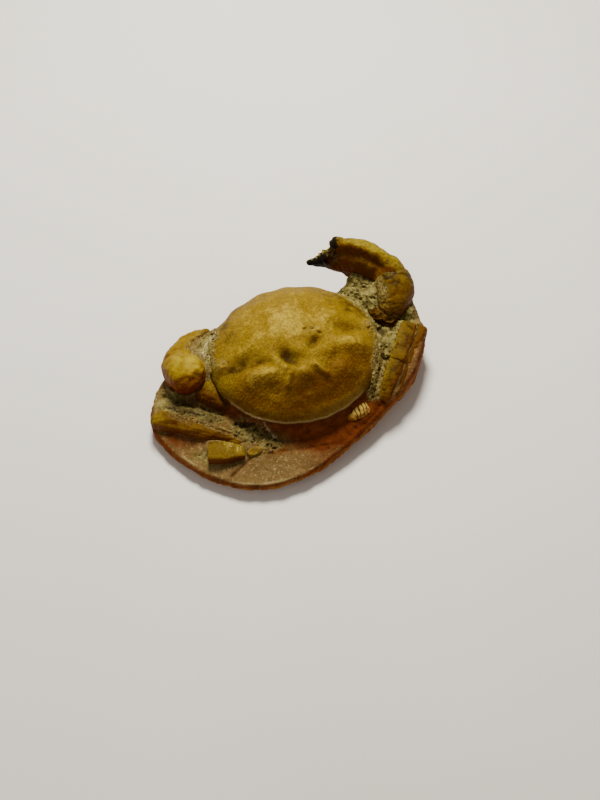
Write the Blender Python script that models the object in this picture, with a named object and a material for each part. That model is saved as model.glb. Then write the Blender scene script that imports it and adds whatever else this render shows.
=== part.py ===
"""A fossil crab lying in a rounded slab of limestone, the shell pieces each a solid of their own.

The frame has +X towards the crab's right, +Y towards its front and +Z up. The origin is on the
slab's flat underside, below the middle of the carapace. Shapes are worked out in millimetres and
scaled by MM when a mesh is made.
"""

import math

import bmesh
import bpy
import numpy as np
from mathutils import Vector, noise

MM = 0.001

# Driving dimensions of the carapace
CARAPACE_HALF_WIDTH = 38.5
CARAPACE_FRONT = 38.2
CARAPACE_BACK = 32.0
CARAPACE_WIDEST_Y = 4.0
RIM_HEIGHT_BACK = 21.0
RIM_HEIGHT_FRONT = 17.5
DOME_RISE = 16.5
CARAPACE_SINK = 2.6
CARAPACE_TEETH = 9
CARAPACE_SEGMENTS = 44
CARAPACE_RINGS = 20
CARAPACE_UNDERSIDE = 3 / CARAPACE_RINGS

# Driving dimensions of the slab. Its mesh runs from the sole up the side to the brow, over the
# upper surface to the foot of the plinth below the carapace, and on to the plinth's middle.
SLAB_CENTRE = (-5.0, -9.0)
SLAB_BASE_INSET = 4.0
SLAB_SEGMENTS = 60
SLAB_RINGS = 17
SLAB_SOLE = 1 / SLAB_RINGS
SLAB_BROW = 5 / SLAB_RINGS
SLAB_PLINTH = 15 / SLAB_RINGS
SLAB_EDGE_ROUND = 0.93
PLINTH_INSET = 0.965
WALL_RUN = 6.0
SURFACE_SMOOTHING = 25.0

# Clear gap between a shell piece and what it sits in
CLEARANCE = 0.35

# The slab's outline in plan, counter-clockwise from the crab's right
SLAB_OUTLINE = (
    (61.6, -3.0), (61.4, 7.0), (61.4, 16.0), (58.0, 26.0), (51.5, 33.0), (43.0, 37.0),
    (35.6, 35.5), (33.2, 28.6), (24.0, 28.4), (12.0, 33.0), (-4.0, 35.0), (-19.0, 32.0),
    (-31.0, 29.0), (-44.5, 25.5), (-57.0, 17.5), (-65.6, 8.5), (-71.0, -4.0), (-69.4, -15.0),
    (-64.0, -25.0), (-55.5, -36.0), (-46.0, -44.2), (-36.0, -49.0), (-24.0, -51.4),
    (-8.0, -50.0), (5.5, -45.6), (20.0, -39.4), (31.5, -33.4), (42.5, -27.4), (50.0, -21.6),
    (56.4, -13.6),
)

# Heights of the slab's upper surface, as x, y, z
LEDGE_HEIGHTS = (
    (-71, -5, 7.5), (-69, -17, 7), (-62, -27, 7), (-54, -37, 7), (-43, -45, 7.5),
    (-32, -50, 8), (-20, -52, 8), (-6, -50, 8.5), (7, -45, 9), (21, -40, 10), (33, -34, 11),
    (-46, -40, 8.5), (-26, -44, 9), (-8, -46, 9.5), (-58, -22, 8),
    (-37, -31, 9.5), (-1, -41, 11.5), (15, -37.5, 12.5),
)
RIDGE_HEIGHTS = (
    (-62, 1, 11), (-50, -8, 12.5), (-38.5, -16, 13), (-32.5, -24, 13.5), (-25.5, -31, 13),
    (-15, -39, 11),
)
GULLY_HEIGHTS = (
    (-54, 2, 8.5), (-46, -3, 8.5), (-37, -10, 9), (-29, -17, 10), (-18, -29, 11.5), (-65, 6, 9.5),
)
LEFT_SHOULDER_HEIGHTS = (
    (-66, 9, 9), (-58, 18, 10), (-46, 25, 12), (-32, 29, 14), (-36.5, 13, 20), (-32.5, 21, 18.5),
)
CHANNEL_HEIGHTS = (
    (39, 1, 19.5), (37, -8, 19), (32, -17, 18), (25, -25, 16.5), (42, 6, 19.5), (46, -3, 19),
)
RIGHT_FLANK_HEIGHTS = (
    (61, -3, 13), (58, -11.5, 12), (53, -18, 12), (44, -26.5, 11), (61, 7, 16), (61, 16, 17.5),
    (57, 26, 19), (51, 33, 20), (43, 36, 20), (35.5, 34.5, 21), (33.5, 29, 20), (44, 28, 22.5),
    (37, 26, 22.5), (38, 15, 20.5), (26, 28, 15),
)
BACK_EDGE_HEIGHTS = ((12, 32, 13), (-5, 34, 12), (-20, 31, 12))

# Hollows in the slab, as x, y, z, half length along x, half length along y, depth
SLAB_HOLLOWS = (
    (39.9, 2.0, 20.6, 1.9, 2.8, 3.2), (36.6, -24.2, 16.0, 2.4, 1.6, 2.2),
    (-61.5, 6.4, 10.4, 3.2, 1.3, 1.6), (-58.6, 9.6, 11.0, 2.4, 1.2, 1.6),
    (-30.5, -21.6, 12.2, 4.6, 1.1, 1.4),
)

# Each limb piece is a list of stations: x, y, z, half width, half height, roll in degrees
RIGHT_PALM = (
    (53.4, 21.4, 24.6, 6.0, 7.2, -6.0), (50.2, 26.6, 26.0, 6.8, 9.4, -8.0),
    (45.8, 31.8, 26.8, 7.1, 11.0, -8.0), (40.6, 36.0, 27.0, 6.8, 11.4, -8.0),
    (35.2, 39.4, 26.6, 6.0, 10.0, -8.0), (30.2, 42.0, 24.6, 4.3, 6.4, -5.0),
    (25.2, 43.6, 22.8, 2.8, 3.2, 0.0), (19.6, 45.0, 22.2, 1.9, 2.0, 0.0),
)
RIGHT_FINGER_STUB = (
    (36.6, 41.6, 35.0, 3.0, 3.0, 0.0), (33.0, 43.0, 35.0, 2.8, 2.7, 0.0),
    (30.0, 43.8, 35.0, 2.0, 1.9, 0.0),
)
RIGHT_WRIST = (
    (56.0, 25.0, 23.5, 6.6, 8.0, 0.0), (52.2, 16.8, 24.5, 8.2, 9.4, 0.0),
    (48.6, 9.2, 22.5, 7.2, 8.0, 0.0),
)
RIGHT_ARM = (
    (39.4, 13.6, 18.4, 3.6, 3.8, 0.0), (44.1, 8.0, 19.2, 4.2, 4.2, 0.0),
    (50.4, 3.4, 18.2, 3.8, 3.8, 0.0),
)
RIGHT_LEG_UPPER = (
    (53.6, -0.2, 18.6, 3.8, 5.0, 0.0), (47.4, -8.4, 18.8, 4.0, 5.2, 0.0),
    (41.6, -16.0, 18.2, 3.8, 5.0, 0.0),
)
RIGHT_LEG_LOWER = (
    (41.0, -16.8, 17.6, 3.5, 4.8, 0.0), (36.2, -22.8, 16.4, 3.1, 4.4, 0.0),
    (30.8, -29.6, 14.4, 2.5, 3.4, 0.0),
)
RIGHT_SECOND_LEG = (
    (59.0, -2.0, 16.2, 3.4, 4.8, 0.0), (50.4, -11.6, 16.2, 3.2, 4.8, 0.0),
    (43.0, -20.4, 14.6, 2.9, 4.2, 0.0), (36.0, -28.2, 12.6, 2.4, 3.2, 0.0),
)
LEFT_PALM = (
    (-47.8, 0.6, 15.0, 7.4, 7.4, 0.0), (-48.6, 7.6, 16.8, 9.9, 10.2, 0.0),
    (-51.4, 14.8, 15.4, 8.6, 8.2, 0.0), (-46.6, 23.4, 15.0, 6.6, 6.4, 0.0),
    (-32.6, 28.4, 14.6, 4.2, 4.4, 0.0),
)
LEFT_ARM = (
    (-45.8, 3.0, 9.8, 4.4, 5.0, 0.0), (-41.6, -1.0, 12.6, 5.8, 6.2, 0.0),
    (-37.2, -6.0, 12.2, 5.2, 5.6, 0.0), (-33.0, -11.6, 11.0, 3.4, 4.0, 0.0),
)
LEFT_LEG = (
    (-69.4, -3.4, 8.4, 4.0, 4.2, 0.0), (-61.0, -7.8, 9.6, 4.7, 4.8, 0.0),
    (-51.2, -14.8, 10.2, 4.7, 4.8, 0.0), (-41.6, -22.0, 10.2, 4.0, 4.2, 0.0),
)
LEFT_LEG_FRAGMENT = (
    (-49.8, -27.6, 10.0, 4.4, 3.8, 0.0), (-43.6, -29.8, 10.4, 4.5, 3.8, 0.0),
    (-34.8, -32.2, 10.0, 2.8, 2.7, 0.0),
)
RIBBED_FRAGMENT = (
    (12.4, -31.6, 13.4, 2.2, 2.2, 0.0), (17.4, -30.8, 14.4, 3.2, 2.9, 0.0),
    (22.8, -30.0, 14.2, 2.8, 2.6, 0.0),
)
RIBS = 6
RIB_DEPTH = 0.16

SHELL_FINISH = (0.30, 0.19, 0.045, 0.55)
SHELL_DARK_FINISH = (0.06, 0.035, 0.015, 0.6)
STONE_FINISH = (0.36, 0.29, 0.18, 0.9)


def clear_scene():
    for obj in list(bpy.data.objects):
        bpy.data.objects.remove(obj)


def new_collection(name):
    collection = bpy.data.collections.new(name)
    bpy.context.scene.collection.children.link(collection)
    return collection


def new_material(name, finish):
    red, green, blue, roughness = finish
    material = bpy.data.materials.new(name)
    material.use_nodes = True
    shader = material.node_tree.nodes["Principled BSDF"]
    shader.inputs["Base Color"].default_value = (red, green, blue, 1.0)
    shader.inputs["Roughness"].default_value = roughness
    shader.inputs["Metallic"].default_value = 0.0
    return material


def smoothstep(low, high, value):
    t = min(1.0, max(0.0, (value - low) / (high - low)))
    return t * t * (3.0 - 2.0 * t)


def bump(x, y, centre_x, centre_y, reach_x, reach_y):
    """A rounded mound of height 1, reach_x by reach_y from its middle to its flank."""
    return math.exp(-(((x - centre_x) / reach_x) ** 2) - ((y - centre_y) / reach_y) ** 2)


def closed_spline(points, turn):
    """Point at turn, from 0 to 1, round a smooth closed curve through the points."""
    count = len(points)
    place = turn * count
    i = int(place) % count
    t = place - int(place)
    a, b, c, d = (np.array(points[(i + k) % count], float) for k in (-1, 0, 1, 2))
    return 0.5 * (2 * b + (c - a) * t + (2 * a - 5 * b + 4 * c - d) * t**2 + (3 * b - a - 3 * c + d) * t**3)


def open_spline(stations, t):
    """Station values at t, from 0 to 1, along a smooth curve through the stations."""
    rows = np.array(stations, float)
    rows = np.vstack([2 * rows[0] - rows[1], rows, 2 * rows[-1] - rows[-2]])
    place = min(max(t, 0.0), 1.0) * (len(stations) - 1)
    i = min(int(place), len(stations) - 2)
    s = place - i
    a, b, c, d = rows[i : i + 4]
    return 0.5 * (2 * b + (c - a) * s + (2 * a - 5 * b + 4 * c - d) * s**2 + (3 * b - a - 3 * c + d) * s**3)


def sphere_mesh(segments, rings):
    """A bmesh sphere, with each vertex's rise from 0 to 1, pole to pole, and its longitude."""
    bm = bmesh.new()
    bmesh.ops.create_uvsphere(bm, u_segments=segments, v_segments=rings, radius=1.0)
    places = []
    for vertex in bm.verts:
        latitude = math.asin(max(-1.0, min(1.0, vertex.co.z)))
        places.append((vertex, latitude / math.pi + 0.5, math.atan2(vertex.co.y, vertex.co.x)))
    return bm, places


def finish_object(name, bm, collection, material):
    bmesh.ops.scale(bm, verts=bm.verts, vec=(MM, MM, MM))
    bmesh.ops.triangulate(bm, faces=bm.faces)
    bmesh.ops.recalc_face_normals(bm, faces=bm.faces)
    mesh = bpy.data.meshes.new(name)
    bm.to_mesh(mesh)
    bm.free()
    mesh.shade_smooth()
    mesh.materials.append(material)
    obj = bpy.data.objects.new(name, mesh)
    collection.objects.link(obj)
    return obj


def roughness_at(point, cell, depth):
    """Seeded noise, from -depth to depth, with lumps about cell across."""
    return depth * noise.fractal(Vector(point) / cell, 1.0, 2.0, 3)


def swept_piece(name, stations, material, collection, blunt=3.0, corner=2.0, segments=12, rings=9,
                wear=0.35, ribs=0):
    """A limb piece: a sphere drawn out along the stations' curve.

    blunt sets how square its ends are, and corner how square its cross-section is."""
    bm, places = sphere_mesh(segments, rings)
    for vertex, rise, longitude in places:
        along = -math.cos(rise * math.pi)
        t = (along + 1.0) / 2.0
        x, y, z, half_width, half_height, roll = open_spline(stations, t)
        ahead = open_spline(stations, t + 0.02)[:3]
        behind = open_spline(stations, t - 0.02)[:3]
        forward = Vector(ahead - behind).normalized()
        side = forward.cross(Vector((0, 0, 1))).normalized()
        up = side.cross(forward)
        close = (1.0 - min(1.0, abs(along)) ** blunt) ** (1.0 / blunt)
        cos_roll = math.cos(math.radians(roll))
        sin_roll = math.sin(math.radians(roll))
        across = math.cos(longitude)
        upward = math.sin(longitude)
        across = math.copysign(abs(across) ** (2.0 / corner), across) * half_width * close
        upward = math.copysign(abs(upward) ** (2.0 / corner), upward) * half_height * close
        if ribs:
            groove = 1.0 - RIB_DEPTH * (0.5 + 0.5 * math.cos(2 * math.pi * ribs * t))
            across *= groove
            upward *= groove
        spot = Vector((x, y, z))
        spot += side * (across * cos_roll - upward * sin_roll)
        spot += up * (across * sin_roll + upward * cos_roll)
        outward = (spot - Vector((x, y, z))).normalized()
        vertex.co = spot + outward * roughness_at(spot, 6.0, wear)
    return finish_object(name, bm, collection, material)


def carapace_reach(x, y):
    """Share of the way from the carapace's middle to its margin, 1 on the margin."""
    ahead = y - CARAPACE_WIDEST_Y
    length = CARAPACE_FRONT - CARAPACE_WIDEST_Y if ahead > 0 else CARAPACE_BACK + CARAPACE_WIDEST_Y
    return math.hypot(x / CARAPACE_HALF_WIDTH, ahead / length)


def rim_height(y):
    return RIM_HEIGHT_BACK + (RIM_HEIGHT_FRONT - RIM_HEIGHT_BACK) * smoothstep(-10.0, 30.0, y)


def carapace_relief(x, y):
    """The swollen regions and the grooves between them, alike on both sides of the midline."""
    side = abs(x)
    relief = 1.8 * bump(side, y, 0.0, 13.5, 12.0, 9.5)
    relief += 0.8 * bump(side, y, 17.5, 14.0, 7.0, 8.0)
    relief -= 2.0 * bump(side, y, 8.0, -0.8, 3.4, 5.2)
    relief -= 2.4 * bump(side, y, 24.0, 1.0, 7.0, 3.6)
    relief += 2.0 * bump(side, y, 20.5, -8.5, 8.5, 4.2)
    relief += 0.9 * bump(side, y, 0.0, -3.0, 4.6, 4.0)
    relief += 1.4 * bump(side, y, 0.0, -15.0, 4.6, 4.6)
    relief -= 1.3 * bump(side, y, 7.0, -15.0, 2.6, 5.4)
    relief += 1.8 * bump(side, y, 35.5, 3.0, 2.6, 2.4)
    relief -= 0.9 * bump(side, y, 28.0, 12.0, 5.0, 6.0)
    return relief


def carapace(collection, material):
    """The crab's back shell: a vaulted oval with a thin margin, its underside sunk in the slab."""
    bm, places = sphere_mesh(CARAPACE_SEGMENTS, CARAPACE_RINGS)
    for vertex, rise, longitude in places:
        below = rise < CARAPACE_UNDERSIDE
        share = rise / CARAPACE_UNDERSIDE if below else (1.0 - rise) / (1.0 - CARAPACE_UNDERSIDE)
        reach = share if below else math.sin(share * math.pi / 2)
        front = math.sin(longitude) > 0
        length = CARAPACE_FRONT - CARAPACE_WIDEST_Y if front else CARAPACE_BACK + CARAPACE_WIDEST_Y
        toothed = math.cos(CARAPACE_TEETH * 2 * longitude) if front else 0.0
        scallop = 1.0 + 0.012 * toothed * reach**8
        x = CARAPACE_HALF_WIDTH * math.cos(longitude) * reach * scallop
        y = CARAPACE_WIDEST_Y + length * math.sin(longitude) * reach * scallop
        z = rim_height(y)
        if below:
            z -= CARAPACE_SINK * min(1.0, 6.0 * (1.0 - reach))
        else:
            dome = (1.0 - min(1.0, reach) ** 2.3) ** 0.72
            z += DOME_RISE * dome + carapace_relief(x, y) * min(1.0, 2.5 * (1.0 - reach))
        vertex.co = (x, y, z)
    return finish_object("carapace", bm, collection, material)


def height_field(spots):
    """A smooth surface through the spot heights: a thin plate spline."""
    rows = np.array(spots, float)
    places = rows[:, :2]
    count = len(rows)

    def kernel(distance):
        return np.where(distance > 0, distance**2 * np.log(distance + 1e-9), 0.0)

    gaps = np.linalg.norm(places[:, None] - places[None], axis=2)
    plane = np.hstack([np.ones((count, 1)), places])
    system = np.block([[kernel(gaps) + SURFACE_SMOOTHING * np.eye(count), plane], [plane.T, np.zeros((3, 3))]])
    weights = np.linalg.solve(system, np.concatenate([rows[:, 2], np.zeros(3)]))

    def height(x, y):
        gap = np.linalg.norm(places - np.array((x, y)), axis=1)
        return float(kernel(gap) @ weights[:count] + weights[count:] @ np.array((1.0, x, y)))

    return height


def slab_surface():
    """Height of the slab's upper surface at x, y, with the raised plinth below the carapace."""
    ground = height_field(
        LEDGE_HEIGHTS + RIDGE_HEIGHTS + GULLY_HEIGHTS + LEFT_SHOULDER_HEIGHTS
        + CHANNEL_HEIGHTS + RIGHT_FLANK_HEIGHTS + BACK_EDGE_HEIGHTS
    )

    def height(x, y):
        low = ground(x, y)
        beyond = (carapace_reach(x, y) - PLINTH_INSET) * CARAPACE_HALF_WIDTH
        plinth = rim_height(y) - 1.2
        return low + (plinth - low) * (1.0 - smoothstep(0.0, WALL_RUN, beyond))

    return height


def plinth_distance(direction, limit):
    """How far from the slab's centre the plinth's edge is, in a direction, up to a limit."""
    for step in range(int(limit * 4)):
        x, y = SLAB_CENTRE + direction * step / 4
        if carapace_reach(x, y) >= PLINTH_INSET:
            return step / 4
    return limit


def slab(collection, material):
    """The limestone: a pebble-like slab with a flat underside and a stepped upper surface."""
    surface = slab_surface()
    bm, places = sphere_mesh(SLAB_SEGMENTS, SLAB_RINGS)
    centre_x, centre_y = SLAB_CENTRE
    outline = [closed_spline(SLAB_OUTLINE, k / 720) for k in range(720)]
    bearings = np.unwrap([math.atan2(y - centre_y, x - centre_x) for x, y in outline])
    radii = [math.hypot(x - centre_x, y - centre_y) for x, y in outline]
    for vertex, rise, longitude in places:
        turn = (longitude - bearings[0]) % (2 * math.pi) + bearings[0]
        radius = float(np.interp(turn, bearings, radii, period=2 * math.pi))
        direction = np.array((math.cos(longitude), math.sin(longitude)))
        brow = radius * SLAB_EDGE_ROUND
        plinth = plinth_distance(direction, 0.86 * brow)
        if rise >= SLAB_BROW:
            share = (rise - SLAB_BROW) / (SLAB_PLINTH - SLAB_BROW)
            distance = brow + (plinth - brow) * share
            if rise > SLAB_PLINTH:
                distance = plinth * (1.0 - rise) / (1.0 - SLAB_PLINTH)
            x, y = SLAB_CENTRE + direction * distance
            z = surface(x, y) + roughness_at((x, y, 0.0), 6.0, 0.6)
        elif rise > SLAB_SOLE:
            swing = (rise - SLAB_SOLE) / (SLAB_BROW - SLAB_SOLE)
            angle = (swing - 0.5) * math.pi
            distance = brow + (radius - brow) * math.cos(angle) - SLAB_BASE_INSET * (1.0 - swing) ** 2
            x, y = SLAB_CENTRE + direction * distance
            z = surface(*(SLAB_CENTRE + direction * brow)) * (0.5 + 0.5 * math.sin(angle))
            shift = roughness_at((x, y, z), 9.0, 0.9) * math.sin(math.pi * swing)
            x += direction[0] * shift
            y += direction[1] * shift
        else:
            x, y = SLAB_CENTRE + direction * (brow - SLAB_BASE_INSET) * rise / SLAB_SOLE
            z = 0.0
        vertex.co = (x, y, max(0.0, z))
    return finish_object("matrix_slab", bm, collection, material)


def make_cutter(obj):
    obj.hide_render = True
    obj.display_type = "WIRE"
    return obj


def hollow_cutter(number, hollow, collection):
    """A cutter for a pit in the slab: a flattened ball."""
    x, y, z, half_x, half_y, depth = hollow
    bm = bmesh.new()
    bmesh.ops.create_icosphere(bm, subdivisions=1, radius=1.0)
    bmesh.ops.scale(bm, verts=bm.verts, vec=(half_x, half_y, depth))
    bmesh.ops.translate(bm, verts=bm.verts, vec=(x, y, z))
    bmesh.ops.scale(bm, verts=bm.verts, vec=(MM, MM, MM))
    mesh = bpy.data.meshes.new(f"cutter_hollow_{number}")
    bm.to_mesh(mesh)
    bm.free()
    cutter = bpy.data.objects.new(mesh.name, mesh)
    collection.objects.link(cutter)
    return make_cutter(cutter)


def swollen_copy(obj, collection):
    """A cutter: the object's whole shape, grown by the clearance."""
    cutter = bpy.data.objects.new("cutter_" + obj.name, obj.data.copy())
    collection.objects.link(cutter)
    grow = cutter.modifiers.new("grow", "DISPLACE")
    grow.strength = CLEARANCE * MM
    grow.mid_level = 0.0
    return make_cutter(cutter)


def cut(obj, cutters):
    for cutter in cutters:
        modifier = obj.modifiers.new("socket", "BOOLEAN")
        modifier.operation = "DIFFERENCE"
        modifier.solver = "EXACT"
        modifier.object = cutter


def main():
    clear_scene()
    fossil = new_collection("fossil_crab")
    cutters = new_collection("cutters")
    shell = new_material("shell", SHELL_FINISH)
    shell_dark = new_material("shell_dark", SHELL_DARK_FINISH)
    stone = new_material("limestone", STONE_FINISH)

    cutter_of = {}

    def place(obj, *neighbours):
        """Makes a new piece's cutter and cuts the piece back from its neighbours."""
        cutter_of[obj.name] = swollen_copy(obj, cutters)
        cut(obj, [cutter_of[name] for name in neighbours])

    place(carapace(fossil, shell))
    place(swept_piece("right_claw_wrist", RIGHT_WRIST, shell, fossil, blunt=2.6))
    place(swept_piece("right_claw_palm", RIGHT_PALM, shell, fossil, blunt=4.0, corner=2.3, segments=16,
                      rings=18, wear=0.6), "right_claw_wrist")
    place(swept_piece("right_claw_finger", RIGHT_FINGER_STUB, shell_dark, fossil, segments=9, rings=7,
                      wear=0.2), "right_claw_palm")
    place(swept_piece("right_claw_arm", RIGHT_ARM, shell, fossil), "carapace", "right_claw_wrist")
    place(swept_piece("right_leg_upper", RIGHT_LEG_UPPER, shell, fossil, blunt=14.0, corner=3.2,
                      wear=0.2), "right_claw_arm", "right_claw_wrist")
    place(swept_piece("right_leg_lower", RIGHT_LEG_LOWER, shell, fossil, blunt=8.0, corner=2.8,
                      wear=0.2), "right_leg_upper")
    place(swept_piece("right_second_leg", RIGHT_SECOND_LEG, shell, fossil, blunt=8.0, corner=2.8,
                      wear=0.2), "right_leg_upper", "right_leg_lower")
    place(swept_piece("left_claw_palm", LEFT_PALM, shell, fossil, blunt=2.8, segments=16, rings=13),
          "carapace")
    place(swept_piece("left_claw_arm", LEFT_ARM, shell, fossil), "carapace", "left_claw_palm")
    place(swept_piece("left_leg", LEFT_LEG, shell, fossil, blunt=5.0, rings=12))
    place(swept_piece("left_leg_fragment", LEFT_LEG_FRAGMENT, shell, fossil, blunt=16.0, corner=4.0,
                      wear=0.15))
    place(swept_piece("ribbed_fragment", RIBBED_FRAGMENT, shell, fossil, segments=9, rings=22,
                      wear=0.1, ribs=RIBS))
    base = slab(fossil, stone)
    cut(base, [hollow_cutter(k, hollow, cutters) for k, hollow in enumerate(SLAB_HOLLOWS, 1)])
    cut(base, cutter_of.values())


main()
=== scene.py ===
"""A fossil crab in its limestone slab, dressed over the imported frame.

Shapes are worked out in millimetres, in the frame's axes, and scaled when a mesh is made.
"""

import math
import bpy
import numpy as np
from mathutils import Matrix, Vector


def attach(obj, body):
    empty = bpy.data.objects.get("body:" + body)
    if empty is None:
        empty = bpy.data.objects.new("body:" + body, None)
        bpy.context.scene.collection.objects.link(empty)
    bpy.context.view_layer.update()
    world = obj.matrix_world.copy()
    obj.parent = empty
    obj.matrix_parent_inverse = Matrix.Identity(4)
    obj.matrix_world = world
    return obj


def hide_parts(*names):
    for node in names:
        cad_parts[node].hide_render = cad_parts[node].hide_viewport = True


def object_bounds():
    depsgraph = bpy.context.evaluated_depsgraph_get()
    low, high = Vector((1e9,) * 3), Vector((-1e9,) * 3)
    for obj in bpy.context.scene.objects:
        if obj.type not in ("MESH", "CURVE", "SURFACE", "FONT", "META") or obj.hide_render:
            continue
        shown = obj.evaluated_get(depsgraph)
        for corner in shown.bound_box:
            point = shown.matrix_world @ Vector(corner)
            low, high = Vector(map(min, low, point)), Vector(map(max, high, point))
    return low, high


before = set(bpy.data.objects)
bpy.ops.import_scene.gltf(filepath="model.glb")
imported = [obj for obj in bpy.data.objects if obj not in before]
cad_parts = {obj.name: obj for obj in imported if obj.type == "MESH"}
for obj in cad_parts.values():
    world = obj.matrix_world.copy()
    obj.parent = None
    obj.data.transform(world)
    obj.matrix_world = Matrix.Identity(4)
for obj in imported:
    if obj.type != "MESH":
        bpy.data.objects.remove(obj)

CAD_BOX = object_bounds()
MM = 0.001

# Carapace
HALF_WIDTH = 38.5
FRONT = 38.2
BACK = 32
WIDEST_Y = 4
RIM_BACK = 21
RIM_FRONT = 17.5
DOME_RISE = 16.5
PLINTH_INSET = 0.965
WALL_RUN = 6
BACK_RINGS, BACK_RAYS = 112, 820
FRONT_TEETH = 18

# Swellings and hollows, here and in the other tables of places: height, x, y, reach along and across,
# and turn in degrees
REGIONS = (
    (2.5, 0.2, 11.5, 9.4, 8.6, 0), (1.5, 17.2, 15, 4.6, 9.6, 8), (1.1, -16.5, 16, 5.2, 9, -8),
    (-2.9, -6.2, -5.8, 3, 5.2, 32), (-1.8, 8.6, -2.6, 4.4, 2.8, 0), (-3, 23.4, 1.2, 7, 3.6, -8),
    (-2.8, -25.4, -1, 7.4, 4.4, 4), (-1.4, -16, -5.4, 5.4, 2.4, -24), (2, 23, -7.4, 8.4, 4.2, -6),
    (1.4, -25, -12.5, 6, 5, 0), (1.5, -1.6, -14.4, 4.2, 3.6, 0), (0.9, -1.2, -5.2, 3.2, 2.6, 0),
    (-1.7, -2.6, -21.6, 5.6, 3.2, 10), (-1.3, 12.8, -12.4, 3.4, 5, -40),
    (1.3, 17, -17, 7, 4, -20), (-0.9, -17, -17.6, 6, 2.2, -30),
    (2.4, 35.4, 2.8, 2.6, 2.8, 0), (2.2, -35, 2.2, 2.6, 2.4, 0),
    (-0.9, 4.9, 3.7, 0.9, 0.8, 0), (-0.9, 8.4, 3.2, 0.9, 0.8, 0), (-0.9, 10.7, 0.7, 0.9, 0.8, 0),
)
PAIRED_REGIONS = (
    (-1, 10.4, 15, 1.9, 6.5, 6), (-1, 28.5, 12, 4, 6, -20), (0.8, 9, 27, 6, 4, 0),
)
# Ridges and grooves, here and in the other tables of lines: height, start, end and width
FOLDS = (
    (-1, 3.4, -5.4, 8.8, -1.6, 1.4), (2.2, -24.5, -8.4, -12, -12.6, 3.2),
    (1.4, -11.8, -4.2, -7.4, -12.8, 1.8), (2, 3, -12.2, 8.6, -19.6, 1.6),
    (1.6, -7.2, -13, -10.6, -19.6, 1.6),
)
CRACKLED = ((1, 35, 3, 3.4, 4, 0), (1.1, -34, 4.4, 3.4, 2.6, 0), (0.6, 8, 3, 3.6, 1.6, 0))
# Paler patches on the back, partly paler shell and partly painted highlight
LIGHT_PATCHES = (
    (0.36, -3, 8, 12, 9, 0), (0.5, -23, 5.5, 10, 5, 0), (0.3, 13, 9, 3.4, 6, 0),
    (0.4, 24, 1.5, 7, 4, 0),
)
# Brown patches on the back: stains, and on the lower back painted shade
BROWN_PATCHES = (
    (1, -2, -22.5, 16, 7, 0), (1, 17, -17, 12, 6, 25), (0.2, 24, 1, 7, 4, 0),
    (0.8, -27, -13, 8, 10, -30),
)
# Dark patches and lines in the back's hollows and grooves: painted shade
DARK_PATCHES = (
    (0.4, -26, -1.4, 6, 3, 0), (0.5, -6.4, -6, 2.8, 4.4, 32), (0.2, -1.5, -23.5, 7, 4.5, 0),
)
DARK_LINES = ((0.35, 3.4, -5.2, 8.6, -1.8, 2),)
# The margin's lip, from the edge inwards: drop and inset
LIP = ((0.18, -0.28), (0.45, -0.30), (0.75, 0.15), (1.2, 1.2), (2.2, 5))

# Slab
SLAB_CENTRE = np.array((-5, -9))
BASE_INSET = 4
EDGE_ROUND = 0.93
SMOOTHING = 25
SLAB_RAYS, OUTLINE_STEPS = 860, 2880
SIDE_RINGS, TOP_RINGS = 28, 78
# Steps taken inwards to find the carapace, and along a limb piece to find what is near it
FOOT_STEPS, LIMB_STEPS = 400, 56
# Further than anything on the slab
FAR = 99.0
SLAB_OUTLINE = (
    (61.6, -3), (61.4, 7), (61.4, 16), (58, 26), (51.5, 33), (43, 37),
    (35.6, 35.5), (33.2, 28.6), (24, 28.4), (12, 33), (-4, 35), (-19, 32),
    (-31, 29), (-44.5, 25.5), (-57, 17.5), (-65.6, 8.5), (-71, -4), (-69.4, -15),
    (-64, -25), (-55.5, -36), (-46, -44.2), (-36, -49), (-24, -51.4),
    (-8, -50), (5.5, -45.6), (20, -39.4), (31.5, -33.4), (42.5, -27.4), (50, -21.6),
    (56.4, -13.6),
)
SPOT_HEIGHTS = (
    (-71, -5, 7.5), (-69, -17, 7), (-62, -27, 7), (-54, -37, 7), (-43, -45, 7.5),
    (-32, -50, 8), (-20, -52, 8), (-6, -50, 8.5), (7, -45, 9), (21, -40, 10), (33, -34, 11),
    (-46, -40, 8.5), (-26, -44, 9), (-8, -46, 9.5), (-58, -22, 8),
    (-37, -31, 9.5), (-1, -41, 11.5), (15, -37.5, 12.5),
    (-62, 1, 11), (-50, -8, 12.5), (-38.5, -16, 13), (-32.5, -24, 13.5), (-25.5, -31, 13),
    (-15, -39, 11),
    (-54, 2, 8.5), (-46, -3, 8.5), (-37, -10, 9), (-29, -17, 10), (-18, -29, 11.5), (-65, 6, 9.5),
    (-66, 9, 9), (-58, 18, 10), (-46, 25, 12), (-32, 29, 14), (-36.5, 13, 20), (-32.5, 21, 18.5),
    (39, 1, 19.5), (37, -8, 19), (32, -17, 18), (25, -25, 16.5), (42, 6, 19.5), (46, -3, 19),
    (61, -3, 13), (58, -11.5, 12), (53, -18, 12), (44, -26.5, 11), (61, 7, 16), (61, 16, 17.5),
    (57, 26, 19), (51, 33, 20), (43, 36, 20), (35.5, 34.5, 21), (33.5, 29, 20), (44, 28, 22.5),
    (37, 26, 22.5), (38, 15, 20.5), (26, 28, 15),
    (12, 32, 13), (-5, 34, 12), (-20, 31, 12),
)

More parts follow.
